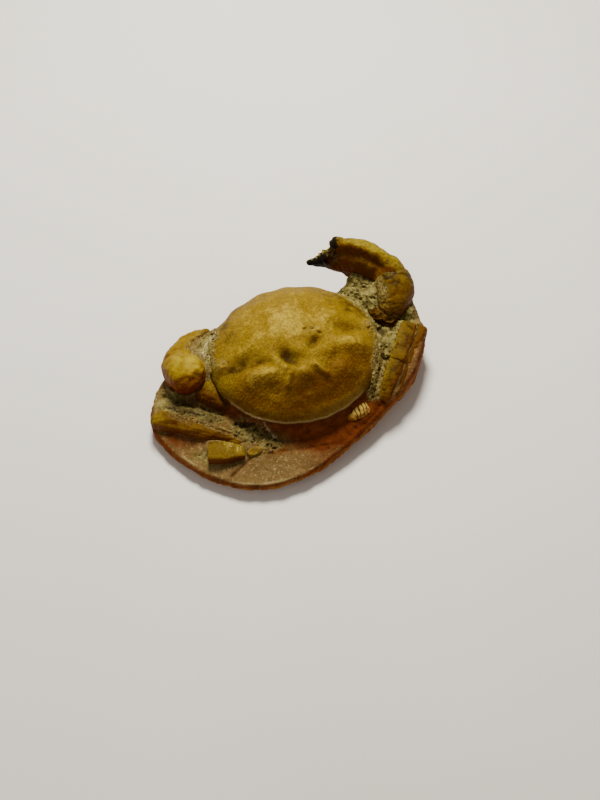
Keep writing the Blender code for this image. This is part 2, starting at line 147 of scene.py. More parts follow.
CALCITE = (
    (-26.9, -21.4), (-23.8, -23.2), (-22.9, -26.3), (-21.4, -29), (-20.2, -31), (-18.3, -29.6),
)
PITS = (
    (2.6, 39.9, 2, 1.9, 2.8, 35), (1.6, 36.6, -24.2, 1.8, 1.2, 35), (1.3, 34.6, -21, 1.2, 0.9, 35),
    (1.2, 32.4, -25, 1, 1.2, 35), (1.6, 37.6, -13, 0.9, 2.2, 35), (1, 45.4, 0.6, 0.8, 1.6, 35),
    (0.8, 39.4, -10.4, 0.8, 1.7, 35), (0.9, 35.2, -17.4, 0.8, 1.6, 35),
    (1.3, -61.5, 6.4, 2.6, 0.9, -30), (1.1, -58.6, 9.6, 2, 0.9, -30), (1.2, -30.5, -21.6, 4, 0.8, -30),
    (1.1, -50, -9.5, 2.6, 0.7, -30), (1.1, -60, -2.6, 2.4, 0.7, -30),
)
CHIPPED = ((1, -36, 19, 5.5, 13, -18), (0.9, -64, 3, 6, 7, 0))
GRITTY = ((0.7, -27, -34.5, 6, 2.2, -8), (0.7, -53.5, -28.5, 2.4, 5, 30))
LEDGE_GROOVES = ((1, -46, -41.5, -31, -34.5, 0.8), (0.5, -22, -37, 8, -42, 0.7))
LEDGE_REDS = (
    (0.9, -67, -10.5, -51, -23, 4.2), (0.7, 40, -28, 59, -9, 4),
    (0.7, 4, -42, 34, -32, 5.5), (0.5, -46, -41.5, -31, -34.5, 1.6),
)
WALL_REDS = ((0.5, -4, -33, 28, -29, 4.5), (0.6, 22, -33, 34, -29.5, 3))
RED_SPOTS = ((1.1, -21, -36.6, 8, 2.8, -14), (0.9, -64, -14, 3, 4, 0))

# Limb pieces: x, y, z, half width, half height, roll in degrees
STATIONS = {
    "right_claw_palm": (
        (54.8, 15.4, 23.4, 5.6, 6.4, -4), (53.8, 21.4, 24.8, 6.2, 7.6, -6),
        (50.2, 26.6, 26, 6.8, 9.4, -8), (45.8, 31.8, 26.8, 7.1, 11, -8),
        (40.6, 36, 27, 6.8, 11.4, -8),
        (35.2, 39.4, 26.6, 6, 10, -8), (30.2, 42, 24.6, 4.3, 6.4, -5),
        (25.2, 43.6, 22.8, 2.8, 3.2, 0), (19.6, 45, 22.2, 1.9, 2, 0),
    ),
    "right_claw_finger": (
        (36.6, 41.6, 35, 3, 3, 0), (33, 43, 35, 2.8, 2.7, 0),
        (30, 43.8, 35, 2, 1.9, 0),
    ),
    "right_claw_wrist": (
        (56, 25, 23.5, 6.6, 8, 0), (52.4, 17.4, 24.4, 8.1, 9.3, 0),
        (49.8, 11.2, 21.6, 7.3, 8, 0), (48, 6.4, 18.2, 5.8, 5, 0),
    ),
    "right_claw_arm": (
        (39.4, 13.6, 18.4, 3.6, 3.8, 0), (44.1, 8, 19.2, 4.2, 4.2, 0),
        (50.4, 3.4, 18.2, 3.8, 3.8, 0),
    ),
    "right_leg_upper": (
        (53.6, -0.2, 18.6, 3.8, 5, 0), (47.4, -8.4, 18.8, 4, 5.2, 0),
        (41.6, -16, 18.2, 3.8, 5, 0),
    ),
    "right_leg_lower": (
        (43.4, -13.4, 17.2, 3, 4.2, 0), (40.6, -17.2, 17.4, 4, 5, 0),
        (36, -22.8, 16.2, 3.4, 4.5, 0), (30.8, -29.6, 13.2, 2.6, 3.2, 0),
    ),
    "right_second_leg": (
        (58.6, -1.8, 16.2, 3.9, 5, 0), (50, -11.2, 16.4, 3.8, 5, 0),
        (42.6, -20, 14.8, 3.4, 4.5, 0), (36, -28, 12.6, 2.6, 3.4, 0),
    ),
    "left_claw_palm": (
        (-47.4, 0.8, 15, 7.8, 7.6, 0), (-48.4, 7.6, 16.8, 9.7, 10.2, 0),
        (-50.8, 14.6, 15.8, 7.9, 8.6, 0), (-47.4, 21.6, 15.6, 6, 6.6, 0),
        (-41, 26.2, 15.4, 4.8, 5.4, 0), (-32.4, 29, 13.8, 3.4, 4, 0),
    ),
    "left_claw_arm": (
        (-45.8, 3, 9.8, 4.4, 5, 0), (-41.6, -1, 12.6, 5.8, 6.2, 0),
        (-37.2, -6, 12.2, 5.2, 5.6, 0), (-33, -11.6, 11, 3.4, 4, 0),
    ),
    "left_leg": (
        (-69.4, -3.4, 8.4, 4, 4.2, 0), (-61, -7.8, 9.6, 4.7, 4.8, 0),
        (-51.2, -14.8, 10.2, 4.7, 4.8, 0), (-41.6, -22, 10.2, 4, 4.2, 0),
        (-34, -27.4, 10, 3.2, 3.2, 0),
    ),
    "left_leg_fragment": (
        (-49.8, -27.6, 10, 4.4, 3.8, 0), (-43.6, -29.8, 10.4, 4.5, 3.8, 0),
        (-34.8, -32.2, 10, 2.8, 2.7, 0),
    ),
    "ribbed_fragment": (
        (12, -31.8, 13.2, 2.4, 2, 0), (17.2, -30.9, 14.2, 3.8, 2.9, 0),
        (23, -30.2, 14.2, 3.4, 2.6, 0),
    ),
}

# How bluntly a piece ends, and how boxy its section is: 2 is a plain ellipse in both
BLUNT = {
    "right_claw_palm": 4, "right_claw_wrist": 2.7, "right_leg_upper": 14, "right_leg_lower": 8,
    "right_second_leg": 16, "left_claw_palm": 3.2, "left_leg": 5, "left_leg_fragment": 26,
    "ribbed_fragment": 5,
}
CORNER = {
    "right_claw_palm": 2.3, "right_claw_wrist": 2.4, "right_leg_upper": 4.6, "right_leg_lower": 4,
    "right_second_leg": 3.6, "left_leg": 2.6, "left_leg_fragment": 7, "left_claw_arm": 3,
    "left_claw_palm": 2.25, "ribbed_fragment": 2.8,
}
USUAL_BLUNT, USUAL_CORNER = 3, 2
# Curved cracks on the right wrist: centre, radius, the side that shows, and depth
WRIST_CRACKS = ((49.6, 21.4, 3.4, -1, 0.9), (56.4, 22.6, 4.2, -2.4, 0.7), (51, 12.6, 3.6, 1.2, 0.6))
# How high the matrix climbs a piece's left and right side, as a share of its half height above its
# middle, and how far it reaches out from it on each side
BEDDING = {
    "right_claw_palm": (-0.25, -0.5, 3.5, 2), "right_claw_wrist": (0.1, 0.35, 5, 6),
    "right_claw_arm": (0, 0, 3, 3), "right_leg_upper": (0.7, 0.85, 2.5, 3.5),
    "right_leg_lower": (0.7, 0.9, 3, 3.5), "right_second_leg": (0.9, 0.97, 4, 5.5),
    "left_claw_palm": (-0.5, 0.62, 2, 4.5), "left_claw_arm": (0.3, 0.1, 3, 3),
    "left_leg": (0.95, -0.5, 6, 1.6), "left_leg_fragment": (0.7, -0.35, 2.6, 4.2),
    "ribbed_fragment": (0.35, 0.15, 2.6, 3),
}

# Shell colours on screen: pale, middle, deep, and a brown used for stains and for painted shade on flanks,
# and then roughness and how strong the specks are
SHELLS = {
    "shell_carapace": ((170, 146, 50), (128, 102, 16), (52, 34, 4), (86, 44, 4), 0.52, 0.35),
    "shell_yellow": ((164, 144, 34), (130, 105, 12), (88, 54, 3), (106, 36, 3), 0.46, 0.15),
    "shell_olive": ((136, 118, 24), (102, 79, 8), (48, 33, 6), (92, 44, 3), 0.5, 0.3),
    "shell_cream": ((192, 168, 92), (158, 130, 60), (72, 44, 14), (136, 86, 26), 0.55, 0.2),
}
SPECULAR = 0.07
SPECULAR_TINT = (1, 0.86, 0.55, 1)

# Camera, in degrees and metres, and the size of the studio
CAMERA_TURN, CAMERA_RISE = -18.5, 64
CAMERA_PLACE = (-0.0730, -0.2225, 0.4574)
LENS, SENSOR = 50.0, 36.0
FLOOR_HALF = 3
WORLD_COLOUR, WORLD_STRENGTH = (1, 0.93, 0.86, 1), 0.24
LIT_POINT = Vector((0, 0, 0.02))


# Repeatable noise


def lattice(cell, seed):
    """A repeatable number from -1 to 1 for each whole-number lattice point."""
    n = (cell[..., 0] * 374761393 + cell[..., 1] * 668265263 + cell[..., 2] * 1103515245
         + seed * 1274126177) & 0xFFFFFFFF
    n = ((n ^ (n >> 13)) * 1274126177) & 0xFFFFFFFF
    n ^= n >> 16
    return n / 2147483647.5 - 1.0


CORNERS = [np.array((i, j, k)) for i in (0, 1) for j in (0, 1) for k in (0, 1)]


def wave(points, size, seed=0):
    """Smooth noise from about -1 to 1, with lumps about size millimetres across."""
    places = points / size
    base = np.floor(places).astype(np.int64)
    t = places - base
    ease = t * t * t * (t * (t * 6 - 15) + 10)
    total = 0
    for corner in CORNERS:
        cell = base + corner
        offset = t - corner
        slope = sum(lattice(cell, seed * 3 + axis) * offset[..., axis] for axis in range(3))
        weight = np.prod(np.where(corner == 1, ease, 1 - ease), axis=-1)
        total = total + slope * weight
    return total * 1.5


def fractal(points, size, octaves=4, fade=0.5, seed=0):
    """Layers of smooth noise, each half the size of the one before."""
    total, strength, scale = 0, 1, 0
    for octave in range(octaves):
        total = total + strength * wave(points, size / 2**octave, seed + 17 * octave)
        scale += strength
        strength *= fade
    return total / scale


def ridges(points, size, octaves=3, seed=0):
    """Noise with sharp crests, from 0 in the hollows to 1 on the crests."""
    total, strength, scale = 0, 1, 0
    for octave in range(octaves):
        total = total + strength * (1 - np.abs(wave(points, size / 2**octave, seed + 31 * octave)) * 1.6)
        scale += strength
        strength *= 0.55
    return np.clip(total / scale, 0, 1)


def grains(points, size, seed=0):
    """The distance to the nearest of scattered points, in sizes, and that point's number from -1 to 1."""
    places = points / size
    base = np.floor(places).astype(np.int64)
    nearest = np.full(places.shape[:-1], 9.0)
    number = np.zeros(places.shape[:-1])
    for i in (-1, 0, 1):
        for j in (-1, 0, 1):
            for k in (-1, 0, 1):
                cell = base + np.array((i, j, k))
                spread = [lattice(cell, seed * 5 + axis) for axis in range(3)]
                spot = cell + 0.5 + 0.42 * np.stack(spread, axis=-1)
                gap = np.linalg.norm(places - spot, axis=-1)
                number = np.where(gap < nearest, lattice(cell, seed * 5 + 4), number)
                nearest = np.minimum(gap, nearest)
    return nearest, number


# Shape helpers


def points_of(x, y, z=0):
    return np.stack(np.broadcast_arrays(x, y, z), axis=-1)


def smooth(low, high, value):
    """0 at the low value, 1 at the high one, and a soft step between; low may be above high."""
    t = np.clip((value - low) / (high - low), 0, 1)
    return t * t * (3 - 2 * t)


def peak(value, centre, width):
    """1 at the centre, fading to 0 about two widths away."""
    return np.exp(-(((value - centre) / width) ** 2))


def bump(x, y, centre, reach, turn=0):
    """A rounded mound of height 1, its long side turned by so many degrees."""
    dx, dy = x - centre[0], y - centre[1]
    c, s = math.cos(math.radians(turn)), math.sin(math.radians(turn))
    return np.exp(-(((dx * c + dy * s) / reach[0]) ** 2) - ((dy * c - dx * s) / reach[1]) ** 2)


def crease(x, y, start, end, width):
    """1 along a straight line, fading to 0 a width away from it and past its ends."""
    start, end = np.array(start, float), np.array(end, float)
    along = end - start
    t = np.clip(((x - start[0]) * along[0] + (y - start[1]) * along[1]) / (along @ along), 0, 1)
    gap = np.hypot(x - start[0] - t * along[0], y - start[1] - t * along[1])
    return peak(gap, 0, width) * np.clip(4 * t + 0.3, 0, 1) * np.clip(4 * (1 - t) + 0.3, 0, 1)


def mounds(x, y, rows):
    """The sum of a table of places."""
    return sum(rise * bump(x, y, (cx, cy), (along, across), turn)
               for rise, cx, cy, along, across, turn in rows)


def lines(x, y, rows):
    """The sum of a table of lines."""
    return sum(rise * crease(x, y, (ax, ay), (bx, by), width) for rise, ax, ay, bx, by, width in rows)


def spline(rows, place, closed=False):
    """Values at each place, counted in rows, along a smooth curve through the rows."""
    rows = np.array(rows, float)
    place = np.asarray(place, float)
    if closed:
        low = np.floor(place).astype(int)
        a, b, c, d = (rows[(low + k) % len(rows)] for k in (-1, 0, 1, 2))
    else:
        place = np.clip(place, 0, len(rows) - 1)
        low = np.minimum(place.astype(int), len(rows) - 2)
        rows = np.vstack([2 * rows[0] - rows[1], rows, 2 * rows[-1] - rows[-2]])
        a, b, c, d = (rows[low + k] for k in (0, 1, 2, 3))
    s = (place - low)[..., None]
    bend, twist = 2 * a - 5 * b + 4 * c - d, 3 * b - a - 3 * c + d
    return 0.5 * (2 * b + (c - a) * s + bend * s**2 + twist * s**3)


def face_directions(grid):
    """The outward direction at each point of a grid of closed rings."""
    along = np.empty_like(grid)
    along[1:-1] = grid[2:] - grid[:-2]
    along[0] = grid[1] - grid[0]
    along[-1] = grid[-1] - grid[-2]
    around = np.roll(grid, -1, axis=1) - np.roll(grid, 1, axis=1)
    out = np.cross(around, along)
    size = np.linalg.norm(out, axis=-1, keepdims=True)
    return out / np.maximum(size, 1e-9)


def outward(grid, sky=None):
    """Directions away from a closed piece's middle line, or towards a given side of an open one."""
    out = face_directions(grid)
    aim = np.array(sky, float) if sky else grid - grid.mean(axis=1, keepdims=True)
    return -out if np.sum(out * aim) < 0 else out


def linked(name, data):
    obj = bpy.data.objects.new(name, data)
    bpy.context.scene.collection.objects.link(obj)
    return obj


def piece_mesh(name, grid, material, masks):
    """An object from a grid of rings, its first and last ring drawn together into a point."""
    rings, count = grid.shape[:2]
    low = np.array(CAD_BOX[0]) / MM + 0.02
    high = np.array(CAD_BOX[1]) / MM - 0.02
    inner = np.clip(grid[1:-1].reshape(-1, 3), low, high)
    tips = np.clip(np.array([grid[0].mean(axis=0), grid[-1].mean(axis=0)]), low, high)
    points = np.vstack([inner, tips]) * MM
    index = np.arange((rings - 2) * count).reshape(rings - 2, count)
    beside = np.roll(index, -1, axis=1)
    quads = np.stack([index[:-1], beside[:-1], beside[1:], index[1:]], axis=-1).reshape(-1, 4)
    first, last = len(inner), len(inner) + 1
    bottom = np.stack([np.full(count, first), beside[0], index[0]], axis=-1)
    top = np.stack([np.full(count, last), index[-1], beside[-1]], axis=-1)
    mesh = bpy.data.meshes.new(name)
    mesh.from_pydata(points.tolist(), [], quads.tolist() + bottom.tolist() + top.tolist())
    mesh.update()
    mesh.shade_smooth()
    for label, values in masks.items():
        values = np.broadcast_to(values, (rings, count))
        ends = [values[0].mean(), values[-1].mean()]
        flat = np.concatenate([values[1:-1].reshape(-1), ends])
        mesh.attributes.new(label, "FLOAT", "POINT").data.foreach_set("value", flat.astype(np.float32))
    mesh.materials.append(material)
    return linked(name, mesh)


def seat(piece, node):
    """Puts a piece in the place of a CAD node."""
    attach(piece, "root")
    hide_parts(node)


# Materials


def linear(screen):
    """A linear colour from a screen colour of 0 to 255."""
    channels = [v / 255 for v in screen]
    return tuple(v / 12.92 if v <= 0.04045 else ((v + 0.055) / 1.055) ** 2.4 for v in channels) + (1,)


class Paint:
    """A node material, with a short name for each kind of node. Its colours are screen colours."""

    def __init__(self, name):
        self.material = bpy.data.materials.new(name)
        self.material.use_nodes = True
        self.tree = self.material.node_tree
        self.shader = self.tree.nodes["Principled BSDF"]
        self.place = self.node("ShaderNodeTexCoord").outputs["Object"]

    def node(self, kind, sockets=None, **settings):
        node = self.tree.nodes.new(kind)
        for key, value in settings.items():
            setattr(node, key, value)
        for key, value in (sockets or {}).items():
            self.feed(node.inputs[key], value)
        return node

    def feed(self, socket, value):
        if isinstance(value, bpy.types.NodeSocket):
            self.tree.links.new(value, socket)
        elif isinstance(value, tuple):
            socket.default_value = linear(value)
        else:
            socket.default_value = value

    def mask(self, name):
        return self.node("ShaderNodeAttribute", attribute_name=name).outputs["Fac"]

    def noise(self, size, detail=4, rough=0.55):
        sockets = {"Vector": self.place, "Scale": 1 / (size * MM), "Detail": detail, "Roughness": rough}
        return self.node("ShaderNodeTexNoise", sockets).outputs[0]

    def specks(self, size):
        return self.node("ShaderNodeTexVoronoi", {"Vector": self.place, "Scale": 1 / (size * MM)}).outputs[0]

    def span(self, value, low, high, to_low=0, to_high=1):
        sockets = {0: value, 1: low, 2: high, 3: to_low, 4: to_high}
        return self.node("ShaderNodeMapRange", sockets, interpolation_type="SMOOTHSTEP").outputs[0]

    def sum(self, a, b):
        return self.node("ShaderNodeMath", {0: a, 1: b}, operation="ADD").outputs[0]

    def times(self, a, b):
        return self.node("ShaderNodeMath", {0: a, 1: b}, operation="MULTIPLY").outputs[0]

    def mix(self, factor, a, b):
        return self.node("ShaderNodeMix", {0: factor, 6: a, 7: b}, data_type="RGBA").outputs[2]

    def facing(self, axis):
        """How far the surface faces along an axis, from -1 to 1."""
        normal = self.node("ShaderNodeNewGeometry").outputs["Normal"]
        return self.node("ShaderNodeSeparateXYZ", {0: normal}).outputs[axis]

    def relief(self, height, depth_mm, strength=1, under=None):
        sockets = {"Height": height, "Strength": strength, "Distance": depth_mm * MM}
        if under is not None:
            sockets["Normal"] = under
        return self.node("ShaderNodeBump", sockets).outputs[0]

    def finish(self, base, roughness, normal):
        self.feed(self.shader.inputs["Base Color"], base)
        self.feed(self.shader.inputs["Roughness"], roughness)
        self.feed(self.shader.inputs["Normal"], normal)
        self.shader.inputs["Specular IOR Level"].default_value = SPECULAR
        self.shader.inputs["Specular Tint"].default_value = SPECULAR_TINT
        return self.material


def shell_material(name):
    """Fossil shell: pale where it stands proud and deep in the hollows, partly its own tone and partly
    painted highlight and shade, and browner on its flanks and front-facing sides as painted shade.

    The mask "rise" runs from -1 in a hollow to 1 on a crest and carries painted highlight and shade too,
    "dark" from 0 to 1 where the shell is blackened and where shade is painted dark, "warm" where it is
    stained brown and where shade is painted brown, "grit" where matrix clings to it, and "pale" where there
    are crystals or a fresh edge."""
    pale, middle, deep, side, gloss, speck = SHELLS[name]
    p = Paint(name)
    broad = p.noise(13, 3)
    patch = p.noise(3.2, 5, 0.62)
    fine = p.noise(0.8, 3)
    lifted = p.sum(p.mask("rise"), p.span(broad, 0.3, 0.7, -0.4, 0.4))
    lifted = p.sum(lifted, p.span(patch, 0.3, 0.7, -0.35, 0.35))
    # Crests pale and hollows deep: partly the shell's own tone, partly painted highlight and shade
    base = p.mix(p.span(lifted, -1.4, -0.15), deep, middle)
    base = p.mix(p.span(lifted, 0, 1.3), base, pale)
    # Brown where the mask asks: stains, and painted shade on lower slopes and undersides
    base = p.mix(p.times(p.mask("warm"), p.span(patch, 0.2, 0.7, 0.95, 0.6)), base, side)
    # Painted shade with red reflected light: faces tilted away from the sky and faces turned to the front go
    # brown
    low_side = p.sum(p.facing("Z"), p.span(patch, 0.3, 0.7, -0.16, 0.16))
    base = p.mix(p.span(low_side, 0, 0.66, 0.9, 0), base, side)
    base = p.mix(p.span(p.facing("Y"), -0.7, -0.05, 0.6, 0), base, side)
    base = p.mix(p.span(p.specks(0.85), 0.35, 0.75, 0, speck), base, deep)
    base = p.mix(p.span(fine, 0.56, 0.74, 0, speck), base, deep)
    base = p.mix(p.span(p.noise(1, 3), 0.58, 0.74, 0, 0.25), base, pale)
    # Near black where the shell is blackened, and where shade is painted dark
    base = p.mix(p.mask("dark"), base, (12, 8, 7))
    grit = p.times(p.mask("grit"), p.span(p.noise(1.1, 4), 0.36, 0.56))
    grime = p.mix(p.span(p.noise(0.5, 2), 0.4, 0.6), (84, 72, 36), (156, 142, 86))
    base = p.mix(grit, base, grime)
    base = p.mix(p.mask("pale"), base, (232, 212, 158))
    rough = p.sum(p.span(patch, 0.25, 0.75, gloss - 0.08, gloss + 0.16), p.times(grit, 0.3))
    normal = p.relief(p.noise(0.55, 4, 0.6), 0.14)
    normal = p.relief(p.specks(0.85), 0.16, -0.5, normal)
    normal = p.relief(p.noise(2.2, 3), 0.4, 0.7, normal)
    return p.finish(base, rough, normal)


def stone_material():
    """Limestone: pinkish and fine on the ledge, grey-green and gritty in the channels.

    The mask "grit" says where it is gritty, "stain" where it is brown, partly from stains and partly as
    painted shade,
    "damp" where it is darker, partly as painted shade, "rise" runs from -1 in a pit to 1 on a crest, with
    painted shade in the pits and a painted highlight on the brow, "pale" marks crystals and fresh breaks, and
    "shell" a small scrap of shell."""
    p = Paint("limestone")
    broad = p.noise(18, 4)
    patch = p.noise(4, 5, 0.62)
    fine = p.noise(0.7, 4, 0.65)
    rise = p.mask("rise")
    ledge = p.mix(p.span(broad, 0.35, 0.65), (114, 90, 50), (98, 76, 42))
    ledge = p.mix(p.span(patch, 0.42, 0.68), ledge, (124, 101, 60))
    gritty = p.mix(p.span(patch, 0.4, 0.62), (104, 94, 46), (142, 132, 74))
    base = p.mix(p.mask("grit"), ledge, gritty)
    # Crests go pale; along the slab's brow this is painted highlight
    base = p.mix(p.span(rise, 0.25, 1, 0, 0.5), base, (180, 166, 112))
    base = p.mix(p.span(fine, 0.55, 0.66, 0, 0.55), base, (58, 40, 20))
    base = p.mix(p.span(p.noise(1, 2), 0.58, 0.68, 0, 0.45), base, (178, 156, 112))
    # Red-brown for stains and for painted shade
    stain_and_shade = p.mix(p.span(patch, 0.35, 0.65), (82, 35, 10), (106, 51, 18))
    base = p.mix(p.mask("stain_and_shade"), base, stain_and_shade)
    # Darker tone, with a little painted shade on the wall under the carapace's rim
    base = p.mix(p.mask("dark_tone_and_shade"), base, (52, 38, 14))
    # Painted shade: pits, grooves, the gully and the ground beside the limb pieces go dark
    base = p.mix(p.span(rise, -1, -0.2, 0.8, 0), base, (44, 33, 17))
    # Painted shade with red reflected light: steep and downward faces go orange-brown
    low_side = p.span(p.facing("Z"), -0.2, 0.5, 0.8, 0)
    base = p.mix(low_side, base, p.mix(p.span(patch, 0.35, 0.65), (122, 66, 18), (142, 96, 38)))
    base = p.mix(p.mask("shell"), base, p.mix(p.span(patch, 0.4, 0.6), (104, 80, 18), (138, 112, 34)))
    base = p.mix(p.mask("pale"), base, (222, 200, 164))
    rough = p.span(fine, 0.3, 0.7, 0.72, 0.95)
    normal = p.relief(p.noise(0.45, 4, 0.7), 0.22)
    normal = p.relief(p.noise(1.8, 4, 0.6), 0.4, 0.8, normal)
    return p.finish(base, rough, normal)


def floor_material():
    p = Paint("studio_floor")
    base = p.mix(p.span(p.noise(160, 2), 0.3, 0.7), (240, 238, 233), (244, 242, 238))
    return p.finish(base, 0.8, p.relief(p.noise(3, 2), 0.05, 0.2))


# The carapace and the ground that it lies on


def reach_of(x, y):
    """Share of the way from the carapace's middle to its margin."""
    ahead = y - WIDEST_Y
    length = np.where(ahead > 0, FRONT - WIDEST_Y, BACK + WIDEST_Y)
    return np.hypot(x / HALF_WIDTH, ahead / length)


def rim_height(y):
    return RIM_BACK + (RIM_FRONT - RIM_BACK) * smooth(-10, 30, y)


def carapace_relief(x, y):
    """The swollen regions and the grooves between them, in millimetres, with the flare of the rear margin."""
    relief = mounds(x, y, REGIONS) + mounds(np.abs(x), y, PAIRED_REGIONS) + lines(x, y, FOLDS)
    share = reach_of(x, y)
    flare = smooth(-6, -20, y) * (0.7 + 0.3 * np.sin(0.21 * x + 1))
    return relief + flare * (0.5 * peak(share, 0.95, 0.035) - 0.7 * peak(share, 0.85, 0.06))


def carapace_rings():
    """The back's surface in rings from the crown to the margin, its relief, and how far out each point is."""
    share = np.linspace(0, 1, BACK_RINGS)[:, None]
    around = np.linspace(0, 2 * math.pi, BACK_RAYS, endpoint=False)[None]
    reach = 1 - (1 - share) ** 1.3
    front = np.sin(around) > 0
    length = np.where(front, FRONT - WIDEST_Y, BACK + WIDEST_Y)
    teeth = np.where(front, np.cos(FRONT_TEETH * around), 0)
    wander = wave(points_of(6 * np.cos(around), 6 * np.sin(around)), 1, 5)
    spread = 1 + (0.011 * teeth + 0.012 * wander) * reach**8
    x = HALF_WIDTH * np.cos(around) * reach * spread
    y = WIDEST_Y + length * np.sin(around) * reach * spread
    inside = reach + 0 * x
    relief = carapace_relief(x, y) * np.minimum(1, 9 * (1 - inside))
    ground = rim_height(y) + DOME_RISE * (1 - inside**2.3) ** 0.72
    return points_of(x, y, ground + relief), relief, inside


def margin_rings(edge):
    """Rings that turn under the carapace's margin and close its underside."""
    toward = np.array((0, WIDEST_Y)) - edge[:, :2]
    toward = toward / np.linalg.norm(toward, axis=1, keepdims=True)
    rings = [np.column_stack([edge[:, :2] + toward * inset, edge[:, 2] - drop]) for drop, inset in LIP]
    centre = np.broadcast_to((0, WIDEST_Y, RIM_BACK - 4), edge.shape)
    return np.array([*rings, centre])


def carapace():
    """The back shell, with its granules, cracks and clinging matrix, a turned rear rim and an underside."""
    top, relief, inside = carapace_rings()
    x, y = top[..., 0], top[..., 1]
    gravel = 1 - smooth(0.2, 0.75, grains(top, 0.85, 3)[0])
    grained = 0.25 + 0.75 * smooth(-1, -10, y) * smooth(5, 12, np.abs(x + 2))
    crackle = mounds(x, y, CRACKLED)
    rough = fractal(top, 1.7, 3, 0.6, 40)
    ragged = fractal(top, 4, 3, 0.6, 41)
    wrinkles = (ridges(top, 2.6, 3, 43) - 0.55) * 1.8
    cling = smooth(27, 31, x) * smooth(-29, -24, y) * smooth(9, 4, y)
    cling = cling + smooth(18, 24, x) * smooth(9, 14, y) + smooth(-24, -29, x) * smooth(4, 9, y)
    cling = cling * smooth(0.90, 0.95, inside + 0.10 * ragged)
    behind = smooth(-9, -14, y) * smooth(25, 18, x) * (1 - cling)
    rim = smooth(0.989, 0.997, inside)
    groove = 0.35 * peak(inside, 0.974, 0.010)

    detail = 0.34 * fractal(top, 7, 4, 0.55, 8) + 0.16 * (gravel - 0.4) * grained
    detail = detail + crackle * (0.5 * rough + 0.7 * wrinkles) - 0.15 * ridges(top, 7, 3, 12) ** 18
    detail = detail * (1 - 0.5 * cling) + cling * (0.9 * rough + 0.5) + 0.42 * behind * (rim - groove)
    shell = top + outward(top, (0, 0, 1)) * (detail * np.minimum(1, 8 * (1.02 - inside)))[..., None]
    shell[..., 2] = np.maximum(shell[..., 2], rim_height(y) - 0.2)
    grid = np.concatenate([shell, margin_rings(shell[-1])])[::-1]

    # Crests paler and hollows deeper, partly the shell's own tone and partly painted highlight and shade
    rise = relief / 2.8 + 0.5 * (gravel - 0.5) * grained + crackle * (0.8 * rough + 1.2 * wrinkles)
    # Paler patches, partly painted highlight, and a darker front slope and left side
    rise = rise + mounds(x, y, LIGHT_PATCHES) - 0.25 * smooth(0.45, 0.95, inside) * smooth(2, 12, y)
    rise = rise - 0.2 * smooth(0.6, 0.95, inside) * smooth(0, -12, x)
    rise = rise + 1.1 * smooth(0.982, 0.992, inside) * smooth(10, 20, y)
    rise = rise + (0.6 + 0.9 * smooth(-14, -2, x)) * smooth(0.88, 0.97, inside) * behind
    rise = rise * (1 - rim * behind) + 0.6 * (rim - groove) * behind + cling * (0.8 * rough - 0.4)
    # Brown: stains, with painted shade over the lower back and its rear slope
    warm = mounds(x, y, BROWN_PATCHES) + 0.35 * smooth(0.80, 0.90, inside) * smooth(-6, -18, y)
    torn = bump(x, y, (-25, -22), (6, 6)) * rim * (rough > 0)
    hidden = ((0, len(LIP) + 1), (0, 0))
    masks = {
        label: np.pad(values, hidden, constant_values=below)[::-1] for label, values, below in (
            ("rise", rise, -0.6),
            ("grit", np.clip(0.45 * crackle + 1.2 * cling, 0, 1), 0.15),
            ("dark", mounds(x, y, DARK_PATCHES) + lines(x, y, DARK_LINES), 0),
            ("warm", np.clip(warm, 0, 1) * (1 - rim * behind), 0.9),
            ("pale", np.clip((0.14 * rim + 0.3 * torn) * behind, 0, 1), 0),
        )
    }
    return grid, masks


def spot_surface():
    """The thin plate spline through the spot heights."""
    rows = np.array(SPOT_HEIGHTS, float)
    seats = rows[:, :2]
    count = len(rows)

    def kernel(gap):
        return np.where(gap > 0, gap**2 * np.log(gap + 1e-9), 0.0)

    gaps = np.linalg.norm(seats[:, None] - seats[None], axis=2)
    plane = np.hstack([np.ones((count, 1)), seats])
    system = np.block([[kernel(gaps) + SMOOTHING * np.eye(count), plane], [plane.T, np.zeros((3, 3))]])
    weights = np.linalg.solve(system, np.concatenate([rows[:, 2], np.zeros(3)]))

    def height(x, y):
        total = weights[count] + weights[count + 1] * x + weights[count + 2] * y
        for seat_xy, weight in zip(seats, weights[:count]):
            total = total + weight * kernel(np.hypot(x - seat_xy[0], y - seat_xy[1]))
        return total

    return height


spot_height = spot_surface()


def slab_height(x, y):
    low = spot_height(x, y)
    beyond = (reach_of(x, y) - PLINTH_INSET) * HALF_WIDTH
    plinth = rim_height(y) - 1.2
    return low + (plinth - low) * (1 - smooth(0, WALL_RUN, beyond))


def limb_axis(name, t):
    """A limb piece's stations at each share of its length, and its forward, side and up directions."""
    stations = STATIONS[name]
    last = len(stations) - 1
    rows = spline(stations, t * last)
    ahead = spline(stations, np.minimum(t + 0.02, 1) * last)
    behind = spline(stations, np.maximum(t - 0.02, 0) * last)
    forward = (ahead - behind)[:, :3]
    forward /= np.linalg.norm(forward, axis=1, keepdims=True)
    side = np.cross(forward, (0, 0, 1))
    side /= np.linalg.norm(side, axis=1, keepdims=True)
    return rows, forward, side, np.cross(side, forward)


def narrowing(t, blunt):
    """How much of its full section a limb piece has at each share of its length."""
    return (1 - np.minimum(1, np.abs(2 * t - 1)) ** blunt) ** (1 / blunt)


